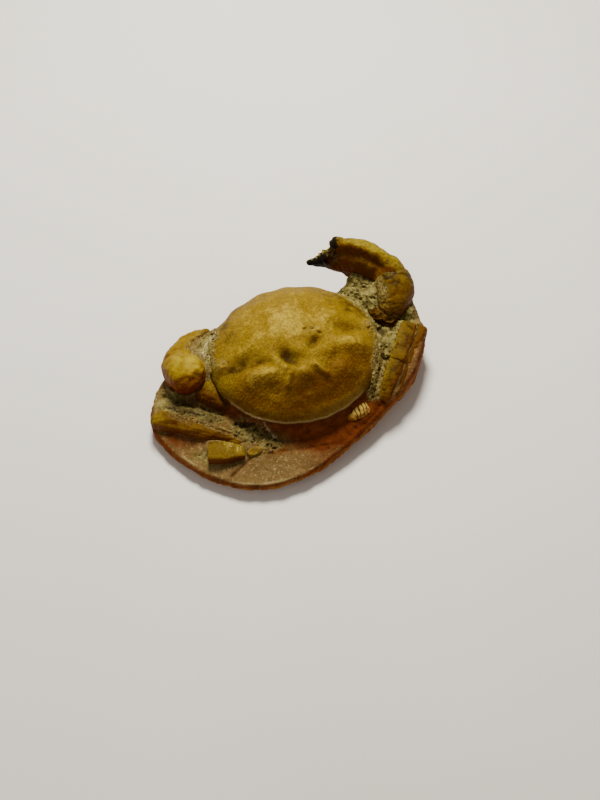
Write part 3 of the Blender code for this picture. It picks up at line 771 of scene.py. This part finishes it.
def bedding(x, y, low):
    """How far the matrix climbs above the ground beside the limb pieces, and how close the nearest is."""
    climb = np.zeros(x.shape)
    nearest = np.full(x.shape, FAR)
    t = np.linspace(0, 1, LIMB_STEPS)
    ragged = fractal(points_of(x, y), 4, 3, 0.6, 301)
    for name, (left, right, left_reach, right_reach) in BEDDING.items():
        rows, forward, _, _ = limb_axis(name, t)
        width = narrowing(t, BLUNT.get(name, USUAL_BLUNT))
        best = np.full(x.shape, FAR)
        goal = np.zeros(x.shape)
        reach = np.ones(x.shape)
        for row, ahead, share in zip(rows, forward, width):
            dx, dy = x - row[0], y - row[1]
            along = np.abs(ahead[0] * dx + ahead[1] * dy)
            beside = np.abs(ahead[0] * dy - ahead[1] * dx) - row[3] * share * 0.94
            gap = np.hypot(along, np.maximum(beside, 0)) + np.minimum(beside, 0) * np.exp(-along / 0.5)
            closer = gap < best
            best = np.where(closer, gap, best)
            on_left = smooth(-2, 2, ahead[0] * dy - ahead[1] * dx)
            climb_to = row[2] + row[4] * max(share, 0.55) * (right + (left - right) * on_left)
            goal = np.where(closer, climb_to, goal)
            reach = np.where(closer, right_reach + (left_reach - right_reach) * on_left, reach)
        reach = reach * (1 + 0.5 * ragged)
        weight = 1 - smooth(0, 1, np.maximum(best, 0) / reach)
        climb = np.maximum(climb, (goal + 0.6 * ragged - low) * weight)
        nearest = np.minimum(nearest, best)
    return climb, nearest


def matrix_height(x, y):
    """The slab's surface, with the matrix that laps the carapace's sides and beds the limb pieces."""
    low = slab_height(x, y)
    climb, nearest = bedding(x, y, low)
    reach = reach_of(x, y)
    ragged = fractal(points_of(x, y), 3.2, 3, 0.6, 302)
    beside = smooth(24, 29, x) * smooth(-27, -23, y)
    beside = beside + smooth(-27, -31, x) * smooth(2, 6, y)
    over = rim_height(y) + 1.5 + 1.1 * ragged - low
    lap = over * beside * (1 - smooth(0.99, 1.09, reach))
    corner = (18.6 + 0.8 * ragged - low) * bump(x, y, (-31.5, 26), (5, 4))
    knee = (23.5 + 1.4 * ragged - low) * bump(x, y, (56.2, 6), (4.4, 4.6), -20)
    raised = np.maximum(np.maximum(climb, lap), np.maximum(np.maximum(corner, knee), 0))
    return low + raised, nearest


def flat_place(heading, span, depth):
    """Plan positions a given way out from the slab's middle, bent round the bay beside the right claw."""
    flat = SLAB_CENTRE + heading * span[:, None]
    near = bump(flat[:, 0], flat[:, 1], (31.6, 30.4), (4.8, 4.8))
    wide = bump(flat[:, 0], flat[:, 1], (31, 29), (9, 8))
    flat[:, 0] += 3 * near + 6 * depth * wide
    return flat


def slab_radius(around):
    """How far the slab's side is from its middle, in each direction round it."""
    place = np.linspace(0, len(SLAB_OUTLINE), OUTLINE_STEPS, endpoint=False)
    outline = spline(SLAB_OUTLINE, place, closed=True)
    away = outline - SLAB_CENTRE
    bearing = np.unwrap(np.arctan2(away[:, 1], away[:, 0]))
    turn = (around - bearing[0]) % (2 * math.pi) + bearing[0]
    radius = np.interp(turn, bearing, np.hypot(away[:, 0], away[:, 1]), period=2 * math.pi)
    return sum(np.roll(radius, k) for k in range(-4, 5)) / 9


def slab_foot(heading, brow):
    """How far out the slab's top meets the carapace, in each direction."""
    steps = np.linspace(0, 1, FOOT_STEPS)[:, None] * brow
    reached = reach_of(SLAB_CENTRE[0] + heading[:, 0] * steps, SLAB_CENTRE[1] + heading[:, 1] * steps)
    first = np.argmax(reached >= PLINTH_INSET, axis=0)
    first = np.where(reached.max(axis=0) >= PLINTH_INSET, first, len(steps) - 1)
    return np.minimum(steps[first, np.arange(len(brow))], 0.86 * brow)


def slab_rings(around):
    """Rings from the sole up the side and over the top to below the carapace.

    With them come each point's share of the side, from 1 on the side to 0 on the top, its distance from the
    nearest limb piece, and the height of the brow where side and top meet."""
    radius = slab_radius(around)
    heading = np.stack([np.cos(around), np.sin(around)], axis=-1)
    brow = radius * EDGE_ROUND
    foot = slab_foot(heading, brow)

    def height(span):
        flat = flat_place(heading, span, 0)
        return matrix_height(flat[:, 0], flat[:, 1])

    brow_height, brow_near = height(brow)
    rows = [((brow - BASE_INSET) * share, 0 * brow, 1, 1, brow_near) for share in (0, 0.5, 0.9, 0.97)]
    for swing in np.linspace(0, 1, SIDE_RINGS):
        angle = (swing - 0.5) * math.pi
        span = brow + (radius - brow) * math.cos(angle) - BASE_INSET * (1 - swing) ** 2
        lift = brow_height * (0.5 + 0.5 * math.sin(angle))
        rows.append((span, lift, (1 - swing) ** 0.6, 1 - 0.5 * max(0, swing - 0.7) / 0.3, brow_near))
    for share in np.linspace(0, 1, TOP_RINGS)[1:]:
        span = brow + (foot - brow) * share
        lift, gap = height(span)
        rows.append((span, lift, 0, max(0, 0.5 - share * 12), gap))
    for share in (0.7, 0.3, 0):
        rows.append((foot * share, height(foot * share)[0] - 2, 0, 0, 0 * brow + FAR))
    spans, lifts, depths, edge, near = zip(*rows)
    grid = [np.column_stack([flat_place(heading, span, depth), lift])
            for span, lift, depth in zip(spans, lifts, depths)]
    return np.array(grid), np.array(edge)[:, None], np.array(near), brow_height


def slab_regions(x, y, top, beyond, ragged):
    """Where the slab is gritty and chipped, its wall under the carapace's rim, red-brown partly from stains
    and partly as painted shade, its gully, painted dark as shade, and the ridge by the left leg.
    """
    channel = smooth(22, 25, x) * smooth(-30, -27, y + 2 * ragged)
    channel = channel * smooth(4, -2, x * 0.72 - y * 0.7 - 43 + 3 * ragged)
    buttress = smooth(28, 32, x) * smooth(1, 5, y)
    ridge = np.maximum(crease(x, y, (-64, 2), (-36, -17.5), 4.2),
                       crease(x, y, (-39, -17), (-17, -37), 4.6))
    gully = np.maximum(crease(x, y, (-52, -1), (-32, -14), 4.4),
                       crease(x, y, (-34, -14), (-16, -31), 3.8))
    chipped = mounds(x, y, CHIPPED)
    grit = channel + buttress + 1.25 * ridge + 1.2 * chipped + mounds(x, y, GRITTY)
    grit = np.clip(grit + 0.35 * ragged * (grit > 0.05), 0, 1) * top
    # Painted shade, partly stains: the red-brown wall under the carapace's rim
    wall = 0.3 * smooth(8.5, 3, beyond) + 0.7 * smooth(14.5, 7, beyond + 2 * ragged)
    wall = wall * smooth(-6, -13, y) * (1 - 0.8 * grit)
    return grit, chipped, wall, gully, ridge


def red_marks(x, y, z, top, grit):
    """The red-brown lines and patches of the ledge and the wall; on the wall under the carapace's rim, and
    over the front right below it, the red-brown is painted shade.
    """
    red = lines(x, y, LEDGE_REDS) * (1 - 0.8 * grit) + lines(x, y, WALL_REDS)
    red = red + 1.6 * smooth(-18, 10, x) * smooth(-30, -38, y)
    left_end = smooth(-52, -62, x) * smooth(-6, -12, y)
    red = red + top * (0.35 * left_end + mounds(x, y, RED_SPOTS))
    return red * (0.8 + 0.5 * wave(points_of(x * 0.5, y * 2.2, z), 5, 39))


def pale_marks(x, y, z, grit, chipped, beyond, crumbs, crumb_number):
    """The white vein beside the left claw, and scattered chips."""
    chip = smooth(0.5, 0.25, crumbs) * (crumb_number > 0.45)
    slivers, sliver_number = grains(points_of(x * 0.8 - y * 0.6, (x * 0.6 + y * 0.8) / 4, z), 0.75, 37)
    vein = np.maximum(crease(x, y, (-39.8, 12), (-38.6, 18), 1.4),
                      crease(x, y, (-38.8, 17.4), (-27.5, 28.4), 1))
    sliver = smooth(0.55, 0.35, slivers) * (sliver_number > -0.5) * smooth(0.25, 0.6, vein)
    rim_chip = smooth(2.4, 0.6, np.abs(beyond + 0.4)) * smooth(-24, -20, y) * (np.abs(x) > 20)
    chips = 0.4 * np.clip(chipped, 0, 1) * (crumb_number > 0.8) + 0.1 * grit + 0.4 * rim_chip
    return 0.5 * sliver + chips * chip


def slab():
    """The limestone, with its pits, grit, grooves, a shell scrap and the thin line of calcite."""
    around = np.linspace(-math.pi, math.pi, SLAB_RAYS, endpoint=False)
    grid, edge, near, brow_height = slab_rings(around)
    x, y, z = grid[..., 0], grid[..., 1], grid[..., 2]
    beyond = (reach_of(x, y) - PLINTH_INSET) * HALF_WIDTH
    top = 1 - edge
    ragged = fractal(grid, 6, 3, 0.6, 20)
    grit, chipped, wall, gully, ridge = slab_regions(x, y, top, beyond, ragged)

    coarse = fractal(grid, 7.5, 4, 0.5, 21)
    hole = smooth(-0.14, -0.36, fractal(grid, 1.7, 3, 0.6, 22))
    small_hole = smooth(-0.12, -0.4, fractal(grid, 1.25, 2, 0.6, 23))
    crumbs, crumb_number = grains(grid, 1.2, 24)
    crumb = smooth(0.55, 0.2, crumbs) * (crumb_number > -0.1)
    gravel = 0.8 * fractal(grid, 3.4, 4, 0.65, 25) + 0.3 * crumb - 0.95 * hole - 0.4 * small_hole
    pock, pock_number = grains(grid, 5.5, 26)
    sparse = smooth(0.17, 0.05, pock + 0.08 * ragged) * (pock_number > 0)
    strokes = wave(points_of((x * 0.5 + y * 0.85) / 1.1, (y * 0.5 - x * 0.85) / 8), 1, 28)
    groove = lines(x, y, LEDGE_GROOVES) * top
    ledge = 0.55 * coarse + 0.16 * fractal(grid, 1.7, 3, 0.6, 27) + 0.10 * strokes * top
    bands = wave(grid * np.array((0.12, 0.12, 1)), 2.2, 36)
    side_cut = 1.5 * fractal(grid, 11, 4, 0.6, 29) + 0.4 * fractal(grid, 2.2, 3, 0.6, 30) + 0.3 * bands
    striae = wave(points_of(around * 20, z / 7), 1, 33)
    hollow = mounds(x, y, PITS)
    scrap = np.hypot((x + 30.8) / 4, (y + 33.6 + 0.1 * (x + 30.8)) / 1.9) + 0.25 * ragged
    scrap = smooth(1, 0.7, scrap)
    calcite = np.max([crease(x, y, start, end, 0.26) for start, end in zip(CALCITE, CALCITE[1:])], axis=0)
    calcite = calcite * smooth(0.3, 0.55, ridges(grid, 2.6, 2, 35)) * top
    detail = grit * gravel + (1 - grit) * (ledge - 0.5 * sparse - 0.6 * groove) * top + edge * side_cut
    detail = detail + 0.3 * wall * striae - hollow * top + 1.1 * scrap + 0.5 * calcite
    carved = grid + outward(grid, (0, 0, 1)) * (detail * smooth(0.3, 1.5, z))[..., None]
    carved[..., 2] = np.maximum(carved[..., 2], 0)

    on_side = edge > 0.5
    height_share = z / brow_height
    olive = np.clip(ridge, 0, 1) * smooth(-66, -58, x)
    # Painted highlight: a pale line along the slab's brow, on its left and front
    brow_line = on_side * peak(height_share, 0.975, 0.025) * smooth(-10, -25, y)
    brow_line = brow_line * smooth(-0.3, 0.3, wave(carved, 9, 38)) * smooth(2, -10, x)
    rise = grit * (0.75 * gravel - hollow + 0.3 - 0.75 * olive)
    rise = rise + (1 - grit) * (0.35 * coarse - 1.2 * sparse - 0.8 * groove)
    rise = rise + 0.9 * brow_line + 0.35 * edge * bands + 0.3 * scrap
    # Painted shade: darker on the ground beside the limb pieces and down the gully
    rise = rise - 0.2 * peak(np.maximum(near, 0), 0, 0.45) * top
    rise = rise - 0.55 * np.clip(gully * top * (1 - grit), 0, 1)
    # Painted shade with red reflected light: the slab's side below the brow, on its front half
    red_side_shade = on_side * smooth(0.975, 0.90, height_share + 0.03 * ragged) * smooth(6, -4, y)
    stain_and_shade = wall + 0.75 * gully * (1 - grit) + 0.7 * red_marks(x, y, z, top, grit) + 0.85 * red_side_shade
    pale = pale_marks(x, y, z, grit, chipped, beyond, crumbs, crumb_number) * top + 0.4 * calcite
    # Darker tone: a patch near the ribbed fragment and the grey-green ridge, with a little painted shade on
    # the wall under the rim
    dark_tone_and_shade = 0.5 * bump(x, y, (27.4, -27.8), (4.4, 2.2), 30) * top + 0.08 * wall
    dark_tone_and_shade = dark_tone_and_shade + olive * (0.5 * smooth(-0.5, 0.3, ragged) + 0.3 * smooth(-40, -46, x))
    masks = {"rise": rise, "grit": grit * (1 - scrap), "stain_and_shade": np.clip(stain_and_shade, 0, 1)}
    masks.update({"pale": np.clip(pale, 0, 1), "shell": scrap, "dark_tone_and_shade": np.clip(dark_tone_and_shade, 0, 1)})
    return carved, masks


# Limb pieces


def swept(name, rings, sides):
    """Rings along a limb piece, with each point's share along it and its angle round it."""
    t = (1 - np.cos(np.linspace(0, 1, rings) * math.pi)) / 2
    rows, _, side, up = limb_axis(name, t)
    power = 2 / CORNER.get(name, USUAL_CORNER)
    close = narrowing(t, BLUNT.get(name, USUAL_BLUNT))
    angle = np.linspace(-math.pi, math.pi, sides, endpoint=False)[None]
    across = np.sign(np.cos(angle)) * np.abs(np.cos(angle)) ** power * (rows[:, 3] * close)[:, None]
    upward = np.sign(np.sin(angle)) * np.abs(np.sin(angle)) ** power * (rows[:, 4] * close)[:, None]
    roll = np.radians(rows[:, 5])[:, None]
    level = across * np.cos(roll) - upward * np.sin(roll)
    lift = across * np.sin(roll) + upward * np.cos(roll)
    grid = rows[:, None, :3] + side[:, None] * level[..., None] + up[:, None] * lift[..., None]
    return grid, t[:, None] + 0 * angle, angle + 0 * t[:, None]


def outside(points, name):
    """Roughly how far each point is outside a limb piece, below 0 inside it."""
    gap = np.full(points.shape[:-1], FAR)
    rows, forward, side, up = limb_axis(name, np.linspace(0.06, 0.94, 22))
    for row, *axes in zip(rows, forward, side, up):
        size = (row[3] + row[4]) / 2
        offset = points - row[:3]
        shares = [offset @ axis / reach for axis, reach in zip(axes, (size, row[3], row[4]))]
        gap = np.minimum(gap, (np.sqrt(sum(v**2 for v in shares)) - 1) * size)
    return gap


def limb_piece(name, seed, shape, rings=110, sides=150, lump=0.35, fine=0.09, cracks=0.25, joined=None):
    """A limb piece's grid and masks: lumps, grain and cracks, and then what is its own.

    A shape function takes the grid, each point's share along it, its angle round it, the height of the
    relief and the masks. It fills in the masks and returns the new height."""
    grid, t, angle = swept(name, rings, sides)
    split = ridges(grid, 6.5, 3, seed + 2) ** 18 * (cracks > 0)
    height = lump * fractal(grid, 5, 3, 0.5, seed) + fine * fractal(grid, 1.1, 3, 0.6, seed + 1)
    # Painted highlight and shade: tops paler and undersides deeper
    masks = {"rise": 0.35 * np.sin(angle) - split} | dict.fromkeys(("grit", "dark", "warm", "pale"), 0 * t)
    height = shape(grid, t, angle, height - cracks * split, masks)
    if joined:
        height = height + 1.5 * peak(outside(grid, joined), 0, 2.6)
    tips = np.minimum(1, 12 * np.minimum(t, 1 - t) + 0.15)
    return grid + outward(grid) * (height * tips)[..., None], masks


def palm_shape(grid, t, angle, height, masks):
    """The palm's crest, painted paler in part as highlight, its flat streaked inner face, painted brown and
    deeper as shade, and the toothed, blackened fixed finger.
    """
    t = (8 * t - 1) / 7
    top = np.sin(angle)
    inner = smooth(0.1, 0.8, -np.cos(angle))
    body = smooth(0, 0.2, t) * smooth(0.72, 0.56, t)
    crest = peak(angle, 1.35, 0.42)
    streak = wave(points_of(t * 24, angle * 1.3), 1, 51)
    coarse = fractal(grid, 3, 3, 0.6, 52)
    height = height + body * (0.7 * crest - 2 * inner - 1.2 * peak(angle, 2.25, 0.45)) + 0.2 * streak * inner
    height = height + body * crest * 0.5 * coarse
    finger = smooth(0.70, 0.76, t)
    tooth = np.clip(np.sin((t - 0.74) * math.pi * 8 / 0.24), 0, 1) * crest
    height = height + finger * (tooth + 0.35 * coarse)
    broken = smooth(0.58, 0.64, t) * smooth(0.76, 0.70, t) * smooth(-0.2, 0.5, top)
    foot = smooth(-0.5, -0.8, top) * smooth(0.75, 0.6, t)
    boundary = smooth(2, 1.6, angle + 0.7 * coarse + 0.12 * streak) * smooth(-0.4, 0.2, angle)
    patch = bump(t, angle, (0.34, 2.7), (0.14, 0.5))
    worn_tooth = smooth(0.3, 0.7, tooth)
    fleck = peak(angle, 1.75, 0.35) * smooth(0.05, 0.3, fractal(grid, 1.5, 3, 0.6, 56)) * (1 - finger)
    dark = np.clip(finger * (1 - 0.95 * worn_tooth) + 0.65 * broken + 0.5 * foot * (coarse < 0), 0, 1)
    # Painted highlight and shade: the crest band paler, the inner face below it deeper and brown
    masks["rise"] = 0.8 * crest * (0.6 + coarse) + 0.5 * boundary + 0.3 * streak * inner
    masks["rise"] += (0.9 * patch - 0.7) * (1 - boundary)
    masks["dark"] = np.maximum(dark, 0.5 * fleck)
    masks["grit"] = np.clip(finger * worn_tooth + 0.5 * broken * (coarse > 0.15), 0, 1)
    masks["warm"] = np.clip((0.9 - 0.8 * patch) * (1 - boundary) * smooth(0.8, 0.6, t), 0, 1)
    return height - 1.3 * broken * ridges(grid, 2.4, 2, 55)


def wrist_shape(grid, t, angle, height, masks):
    """A blocky knuckle with short curved cracks on its crown and a brown band below, partly painted shade."""
    x, y, z = grid[..., 0], grid[..., 1], grid[..., 2]
    wobble = 0.8 * wave(grid, 2.6, 65)
    arcs = 0
    for cx, cy, radius, aim, depth in WRIST_CRACKS:
        gap, turn = np.hypot(x - cx, y - cy) + wobble, np.arctan2(y - cy, x - cx)
        arcs = arcs + depth * peak(gap, radius, 0.35) * smooth(0.3, 0.8, np.cos(turn - aim))
    top = smooth(0.1, 0.5, np.sin(angle))
    arcs = arcs * top
    patch = bump(x, y, (51.4, 20.4), (1.8, 1.3), -20) * top
    low = smooth(14.5, 11.5, y + 0.25 * (z - 22) + 0.8 * wobble)
    coarse = fractal(grid, 2.6, 3, 0.6, 66)
    clinging = 0.8 * smooth(-0.1, -0.6, np.sin(angle)) + 0.9 * smooth(48.5, 46, x + coarse) + 0.4 * patch
    masks["rise"] += 0.7 * bump(x, y, (55.4, 17.4), (2.6, 2.4)) - 1.5 * arcs + 0.8 * coarse + 1.6 * low - 0.8
    masks["dark"] = np.clip(0.35 * patch + 0.15 * arcs, 0, 1)
    # The band below goes brown, partly as painted shade
    masks["warm"] = 0.5 * low
    masks["grit"] = np.clip(clinging * (1 - 0.7 * low), 0, 1)
    return height - 0.4 * arcs - 0.5 * patch + 0.4 * coarse


def arm_shape(grid, t, angle, height, masks):
    """A rough strut with a light, wavy keel."""
    keel = peak(angle, 2.1 + 0.25 * np.sin(7 * t) + 0.3 * wave(grid, 2.4, 64), 0.32)
    rough = ridges(grid, 2.8, 3, 63) - 0.55
    masks["dark"] = np.clip(0.6 - keel - 1.2 * rough, 0, 0.8)
    masks["warm"] = np.clip(0.5 - keel, 0, 1)
    masks["grit"] = 0.9 * keel
    masks["rise"] = 0.9 * keel - 0.7 + rough
    return height + 0.5 * keel + 1.1 * rough


def leg_shape(bevel_at, crack_at, seed):
    """A boxy leg segment: a light bevel, a worn top, and a long crack beside its other edge."""

    def shape(grid, t, angle, height, masks):
        wander = 0.12 * wave(points_of(t * 9, 0), 1, seed + 5)
        bevel = peak(angle, bevel_at + 0.2, 0.42)
        crack = peak(angle, crack_at + wander, 0.09)
        streak = fractal(points_of(angle * 2.2, t * 2.6), 1, 4, 0.6, seed)
        pits = smooth(-0.12, -0.4, fractal(grid, 1.8, 3, 0.6, seed + 1))
        flank = smooth(bevel_at + 0.6, bevel_at + 1.6, angle) * (0.85 + 0.7 * streak)
        masks["rise"] = 1.2 * bevel - 1.4 * crack * (0.6 + streak) + 0.9 * streak - pits - 0.8
        # The flank that faces the front and the underside go brown, partly as painted shade
        masks["warm"] = np.maximum(np.clip(flank, 0, 1), smooth(-1.5, -2.2, angle))
        masks["grit"] = 0.8 * smooth(0, -0.5, np.sin(angle))
        uneven = fractal(grid, 6, 3, 0.6, seed + 7)
        return height - 0.22 * crack + 0.22 * streak - 0.35 * pits + 0.2 * bevel + 0.5 * uneven

    return shape


def left_palm_shape(grid, t, angle, height, masks):
    """A smooth knob, and a flatter band that wraps up and round it, with painted highlight and shade: a
    highlight on the knob, paler on top, darker on the left and browner at the front end.
    """
    x, y = grid[..., 0], grid[..., 1]
    gap = np.hypot(x + 48.7, y - 9.6) + 0.5 * wave(grid, 5, 76)
    fold = peak(gap, 9.8, 1.8) * smooth(11, 19, y + 0.35 * (x + 50)) * smooth(-58.5, -54, x)
    knob = smooth(9.5, 5, gap)
    band = smooth(9.4, 12, gap) * smooth(9, 14, y)
    inner = smooth(-0.1, 0.7, np.cos(angle) + 0.3 * wave(grid, 2.4, 78)) * band
    rough = fractal(grid, 1.8, 3, 0.6, 77)
    # A painted highlight on the knob, with a slight rise to match
    spot = bump(x, y, (-46.3, 4.6), (3.4, 1.8), 20)
    worn = bump(x, y, (-51.5, 0.5), (5, 4), -20)
    masks["dark"] = 0.35 * worn * smooth(0.1, 0.5, rough)
    # Paler on top and darker on the left, as painted highlight and shade
    masks["rise"] = 0.5 * spot + 0.45 * knob - 0.6 * fold - 0.6 * band + 0.25 * np.sin(angle)
    masks["rise"] -= 0.5 * smooth(-50, -57, x)
    masks["grit"] = 0.9 * inner * smooth(0.3, 0.6, t)
    # Browner at the front end, as painted shade
    masks["warm"] = 0.9 * smooth(4.5, 0.5, y + 1.2 * rough)
    height = height + 0.5 * spot + 0.5 * knob - 0.55 * fold - 0.9 * band * smooth(-58, -50, x)
    return height + (0.1 * inner + 0.4 * worn) * rough


def left_arm_shape(grid, t, angle, height, masks):
    """A wedge painted dark red-brown as shade, with one facet painted light as highlight."""
    rough = fractal(grid, 4, 4, 0.6, 96)
    facet = bump(grid[..., 0], grid[..., 1], (-40.4, -0.8), (4.4, 2.2), -60)
    facet = np.clip(facet * smooth(0.2, 0.7, np.sin(angle)) * (1.1 + rough), 0, 1)
    # Painted highlight and shade: the facet pale, the rest dark red-brown
    masks["rise"] = facet - 0.5 + 0.8 * rough
    masks["warm"] = np.clip(0.9 - 1.5 * facet, 0, 1)
    masks["dark"] = 0.2 * (1 - facet)
    masks["grit"] = 0.5 * facet * (rough > 0.1)
    return height + 0.5 * facet + 1.2 * rough


def left_leg_shape(grid, t, angle, height, masks):
    """A long band with dark cracks, gritty where the matrix laps its far side."""
    streak = wave(points_of(angle * 3.2, t * 5), 1, 71)
    wander = 0.16 * wave(points_of(t * 12, 0), 1, 73)
    crack = peak(angle, 1.75 + wander, 0.10) * smooth(0.25, 0.4, t)
    crack = crack + peak(angle, 2.3 - wander, 0.12) * smooth(0.1, 0.2, t) * smooth(0.8, 0.6, t)
    over = smooth(0, 0.5, np.sin(angle - 1.35) + 0.4 * streak) * smooth(0.15, 0.35, t + 0.1 * streak)
    grit = np.clip(0.6 * over + 0.5 * smooth(-0.3, -0.8, np.sin(angle)), 0, 1)
    rough = fractal(grid, 2.4, 4, 0.6, 72)
    lumps = fractal(grid, 9, 3, 0.6, 74)
    masks["grit"] = grit
    # Half brown all over, and fully brown on the front and lower side as painted shade
    masks["warm"] = np.maximum(smooth(1.3, 0.5, angle + 0.3 * streak), 0.5)
    masks["rise"] = 0.45 * streak - 1.5 * crack + 0.9 * rough + 0.8 * lumps + 0.1 - 0.8 * smooth(0.12, 0.3, t)
    return height + 1.8 * lumps + (0.5 + 0.8 * grit) * rough + 0.2 * streak - 0.6 * crack


def block_shape(grid, t, angle, height, masks):
    """A clean-cut shard whose far edge sparkles with crystals."""
    sparkle, number = grains(grid, 0.5, 81)
    far_edge = crease(grid[..., 0], grid[..., 1], (-45, -26.4), (-34.5, -29.4), 2)
    far_edge = far_edge * smooth(-0.7, 0.1, wave(grid, 3, 85))
    bright = smooth(0.5, 0.3, sparkle) * (number > 0.1) * smooth(0.25, 0.5, far_edge)
    facet = smooth(0.5, 1, np.sin(angle))
    coarse = fractal(grid, 4, 3, 0.6, 83)
    masks["pale"] = 0.5 * bright
    # Painted highlight and shade: the top facet paler, the front face red-brown and darker
    masks["rise"] = 0.2 * facet + coarse - 0.1 + 0.6 * far_edge
    masks["warm"] = smooth(0.6, 0.4, angle)
    masks["dark"] = 0.12 * smooth(0.6, 0.4, angle)
    return height + 0.12 * bright + 0.5 * facet * coarse + 0.9 * far_edge * fractal(grid, 2.2, 3, 0.6, 86)


def ribbed_shape(grid, t, angle, height, masks):
    """A comb of close ribs, with a brown stump at its left end."""
    phase = 6.6 * t + 0.3 * np.cos(angle) + 0.4 * wave(grid, 3.4, 94)
    split = peak(phase, np.round(phase), 0.14) * smooth(0.26, 0.34, t)
    rough = fractal(grid, 2.2, 3, 0.6, 93)
    masks["rise"] = 0.25 - 2 * split + 1.1 * rough
    masks["dark"] = 0.35 * split
    masks["warm"] = smooth(0.30, 0.20, t)
    return height - 0.26 * split + 0.8 * rough


def stub_shape(grid, t, angle, height, masks):
    """A broken finger stub, blackened and hollow at its end."""
    rough = ridges(grid, 2, 2, 92) - 0.5
    hollow = smooth(0.62, 0.9, t) * bump(np.sin(angle), np.cos(angle), (0.6, 0.2), (0.8, 0.8))
    masks["dark"] = 0.95 * smooth(0.35, 0.55, t + 0.2 * rough)
    masks["grit"] = smooth(0, 0.5, wave(grid, 1.8, 91)) * smooth(0.55, 0.3, t)
    return height + 0.5 * rough - hollow


# Each limb piece: its shell, its slot, its seed, its own shape, and what differs from the usual
PIECES = {
    "right_claw_palm": ("shell_olive", "shell", 100, palm_shape,
                        dict(rings=190, sides=200, lump=0.7, fine=0.2, joined="right_claw_wrist")),
    "right_claw_finger": ("shell_olive", "shell_dark", 110, stub_shape, dict(rings=70, sides=80)),
    "right_claw_wrist": ("shell_olive", "shell", 120, wrist_shape,
                         dict(rings=130, sides=160, lump=0.6, joined="right_claw_palm")),
    "right_claw_arm": ("shell_olive", "shell", 130, arm_shape, {}),
    "right_leg_upper": ("shell_olive", "shell", 140, leg_shape(0.72, 2.35, 141), dict(lump=0.3)),
    "right_leg_lower": ("shell_olive", "shell", 150, leg_shape(0.72, 2.35, 151), dict(lump=0.3)),
    "right_second_leg": ("shell_olive", "shell", 160, leg_shape(0.3, 1.1, 161), {}),
    "left_claw_palm": ("shell_yellow", "shell", 170, left_palm_shape,
                       dict(rings=160, sides=200, lump=1.1, fine=0.05, cracks=0)),
    "left_claw_arm": ("shell_olive", "shell", 180, left_arm_shape, {}),
    "left_leg": ("shell_olive", "shell", 190, left_leg_shape, dict(rings=150, lump=0.5)),
    "left_leg_fragment": ("shell_olive", "shell", 200, block_shape, dict(lump=0.15, cracks=0.1)),
    "ribbed_fragment": ("shell_cream", "shell", 210, ribbed_shape, dict(rings=150, sides=90, lump=0.2)),
}


def build():
    shells = {name: shell_material(name) for name in SHELLS}
    grid, masks = slab()
    seat(piece_mesh("slab", grid, stone_material(), masks), "matrix_slab")
    grid, masks = carapace()
    seat(piece_mesh("back_shell", grid, shells["shell_carapace"], masks), "carapace")
    for node, (paint, slot, seed, shape, options) in PIECES.items():
        grid, masks = limb_piece(node, seed, shape, **options)
        seat(piece_mesh("shell_" + node, grid, shells[paint], masks), node)


def stage():
    """A pale floor, soft studio lights and the camera at the photograph's viewing angle."""
    mesh = bpy.data.meshes.new("studio_floor")
    corners = [(i * FLOOR_HALF, j * FLOOR_HALF, 0) for i, j in ((-1, -1), (1, -1), (1, 1), (-1, 1))]
    mesh.from_pydata(corners, [], [(0, 1, 2, 3)])
    mesh.materials.append(floor_material())
    floor = linked("studio_floor", mesh)

    world = bpy.data.worlds.new("studio")
    world.use_nodes = True
    background = world.node_tree.nodes["Background"]
    background.inputs["Color"].default_value = WORLD_COLOUR
    background.inputs["Strength"].default_value = WORLD_STRENGTH
    bpy.context.scene.world = world

    turn, rise = math.radians(CAMERA_TURN), math.radians(CAMERA_RISE)
    right = Vector((math.cos(turn), math.sin(turn), 0))
    back = Vector((math.sin(turn) * math.cos(rise), -math.cos(turn) * math.cos(rise), math.sin(rise)))
    up = back.cross(right)
    camera_data = bpy.data.cameras.new("camera")
    camera_data.lens = LENS
    camera_data.sensor_width = SENSOR
    camera_data.clip_start = 0.01
    camera = linked("camera", camera_data)
    facing = Matrix((right, up, back)).transposed()
    camera.matrix_world = Matrix.Translation(CAMERA_PLACE) @ facing.to_4x4()
    bpy.context.scene.camera = camera

    # Name, direction that it comes from, distance, size, watts and colour
    lights = (
        ("key", Vector((0.12, 0.50, 0.86)), 0.62, 0.18, 7.6, (1, 0.94, 0.82)),
        ("fill", -right * 0.9 + back * 0.5 - up * 0.2, 0.8, 0.7, 0.8, (0.96, 0.97, 1)),
        ("glow", -up * 0.9 + right * 0.3 + back * 0.5, 0.8, 0.7, 0.7, (1, 0.80, 0.60)),
    )
    for name, heading, distance, size, watts, tint in lights:
        data = bpy.data.lights.new(name, "AREA")
        data.shape = "DISK"
        data.size = size
        data.energy = watts
        data.color = tint
        light = linked(name, data)
        heading = heading.normalized()
        light.location = LIT_POINT + heading * distance
        light.rotation_euler = heading.to_track_quat("Z", "Y").to_euler()


build()
stage()
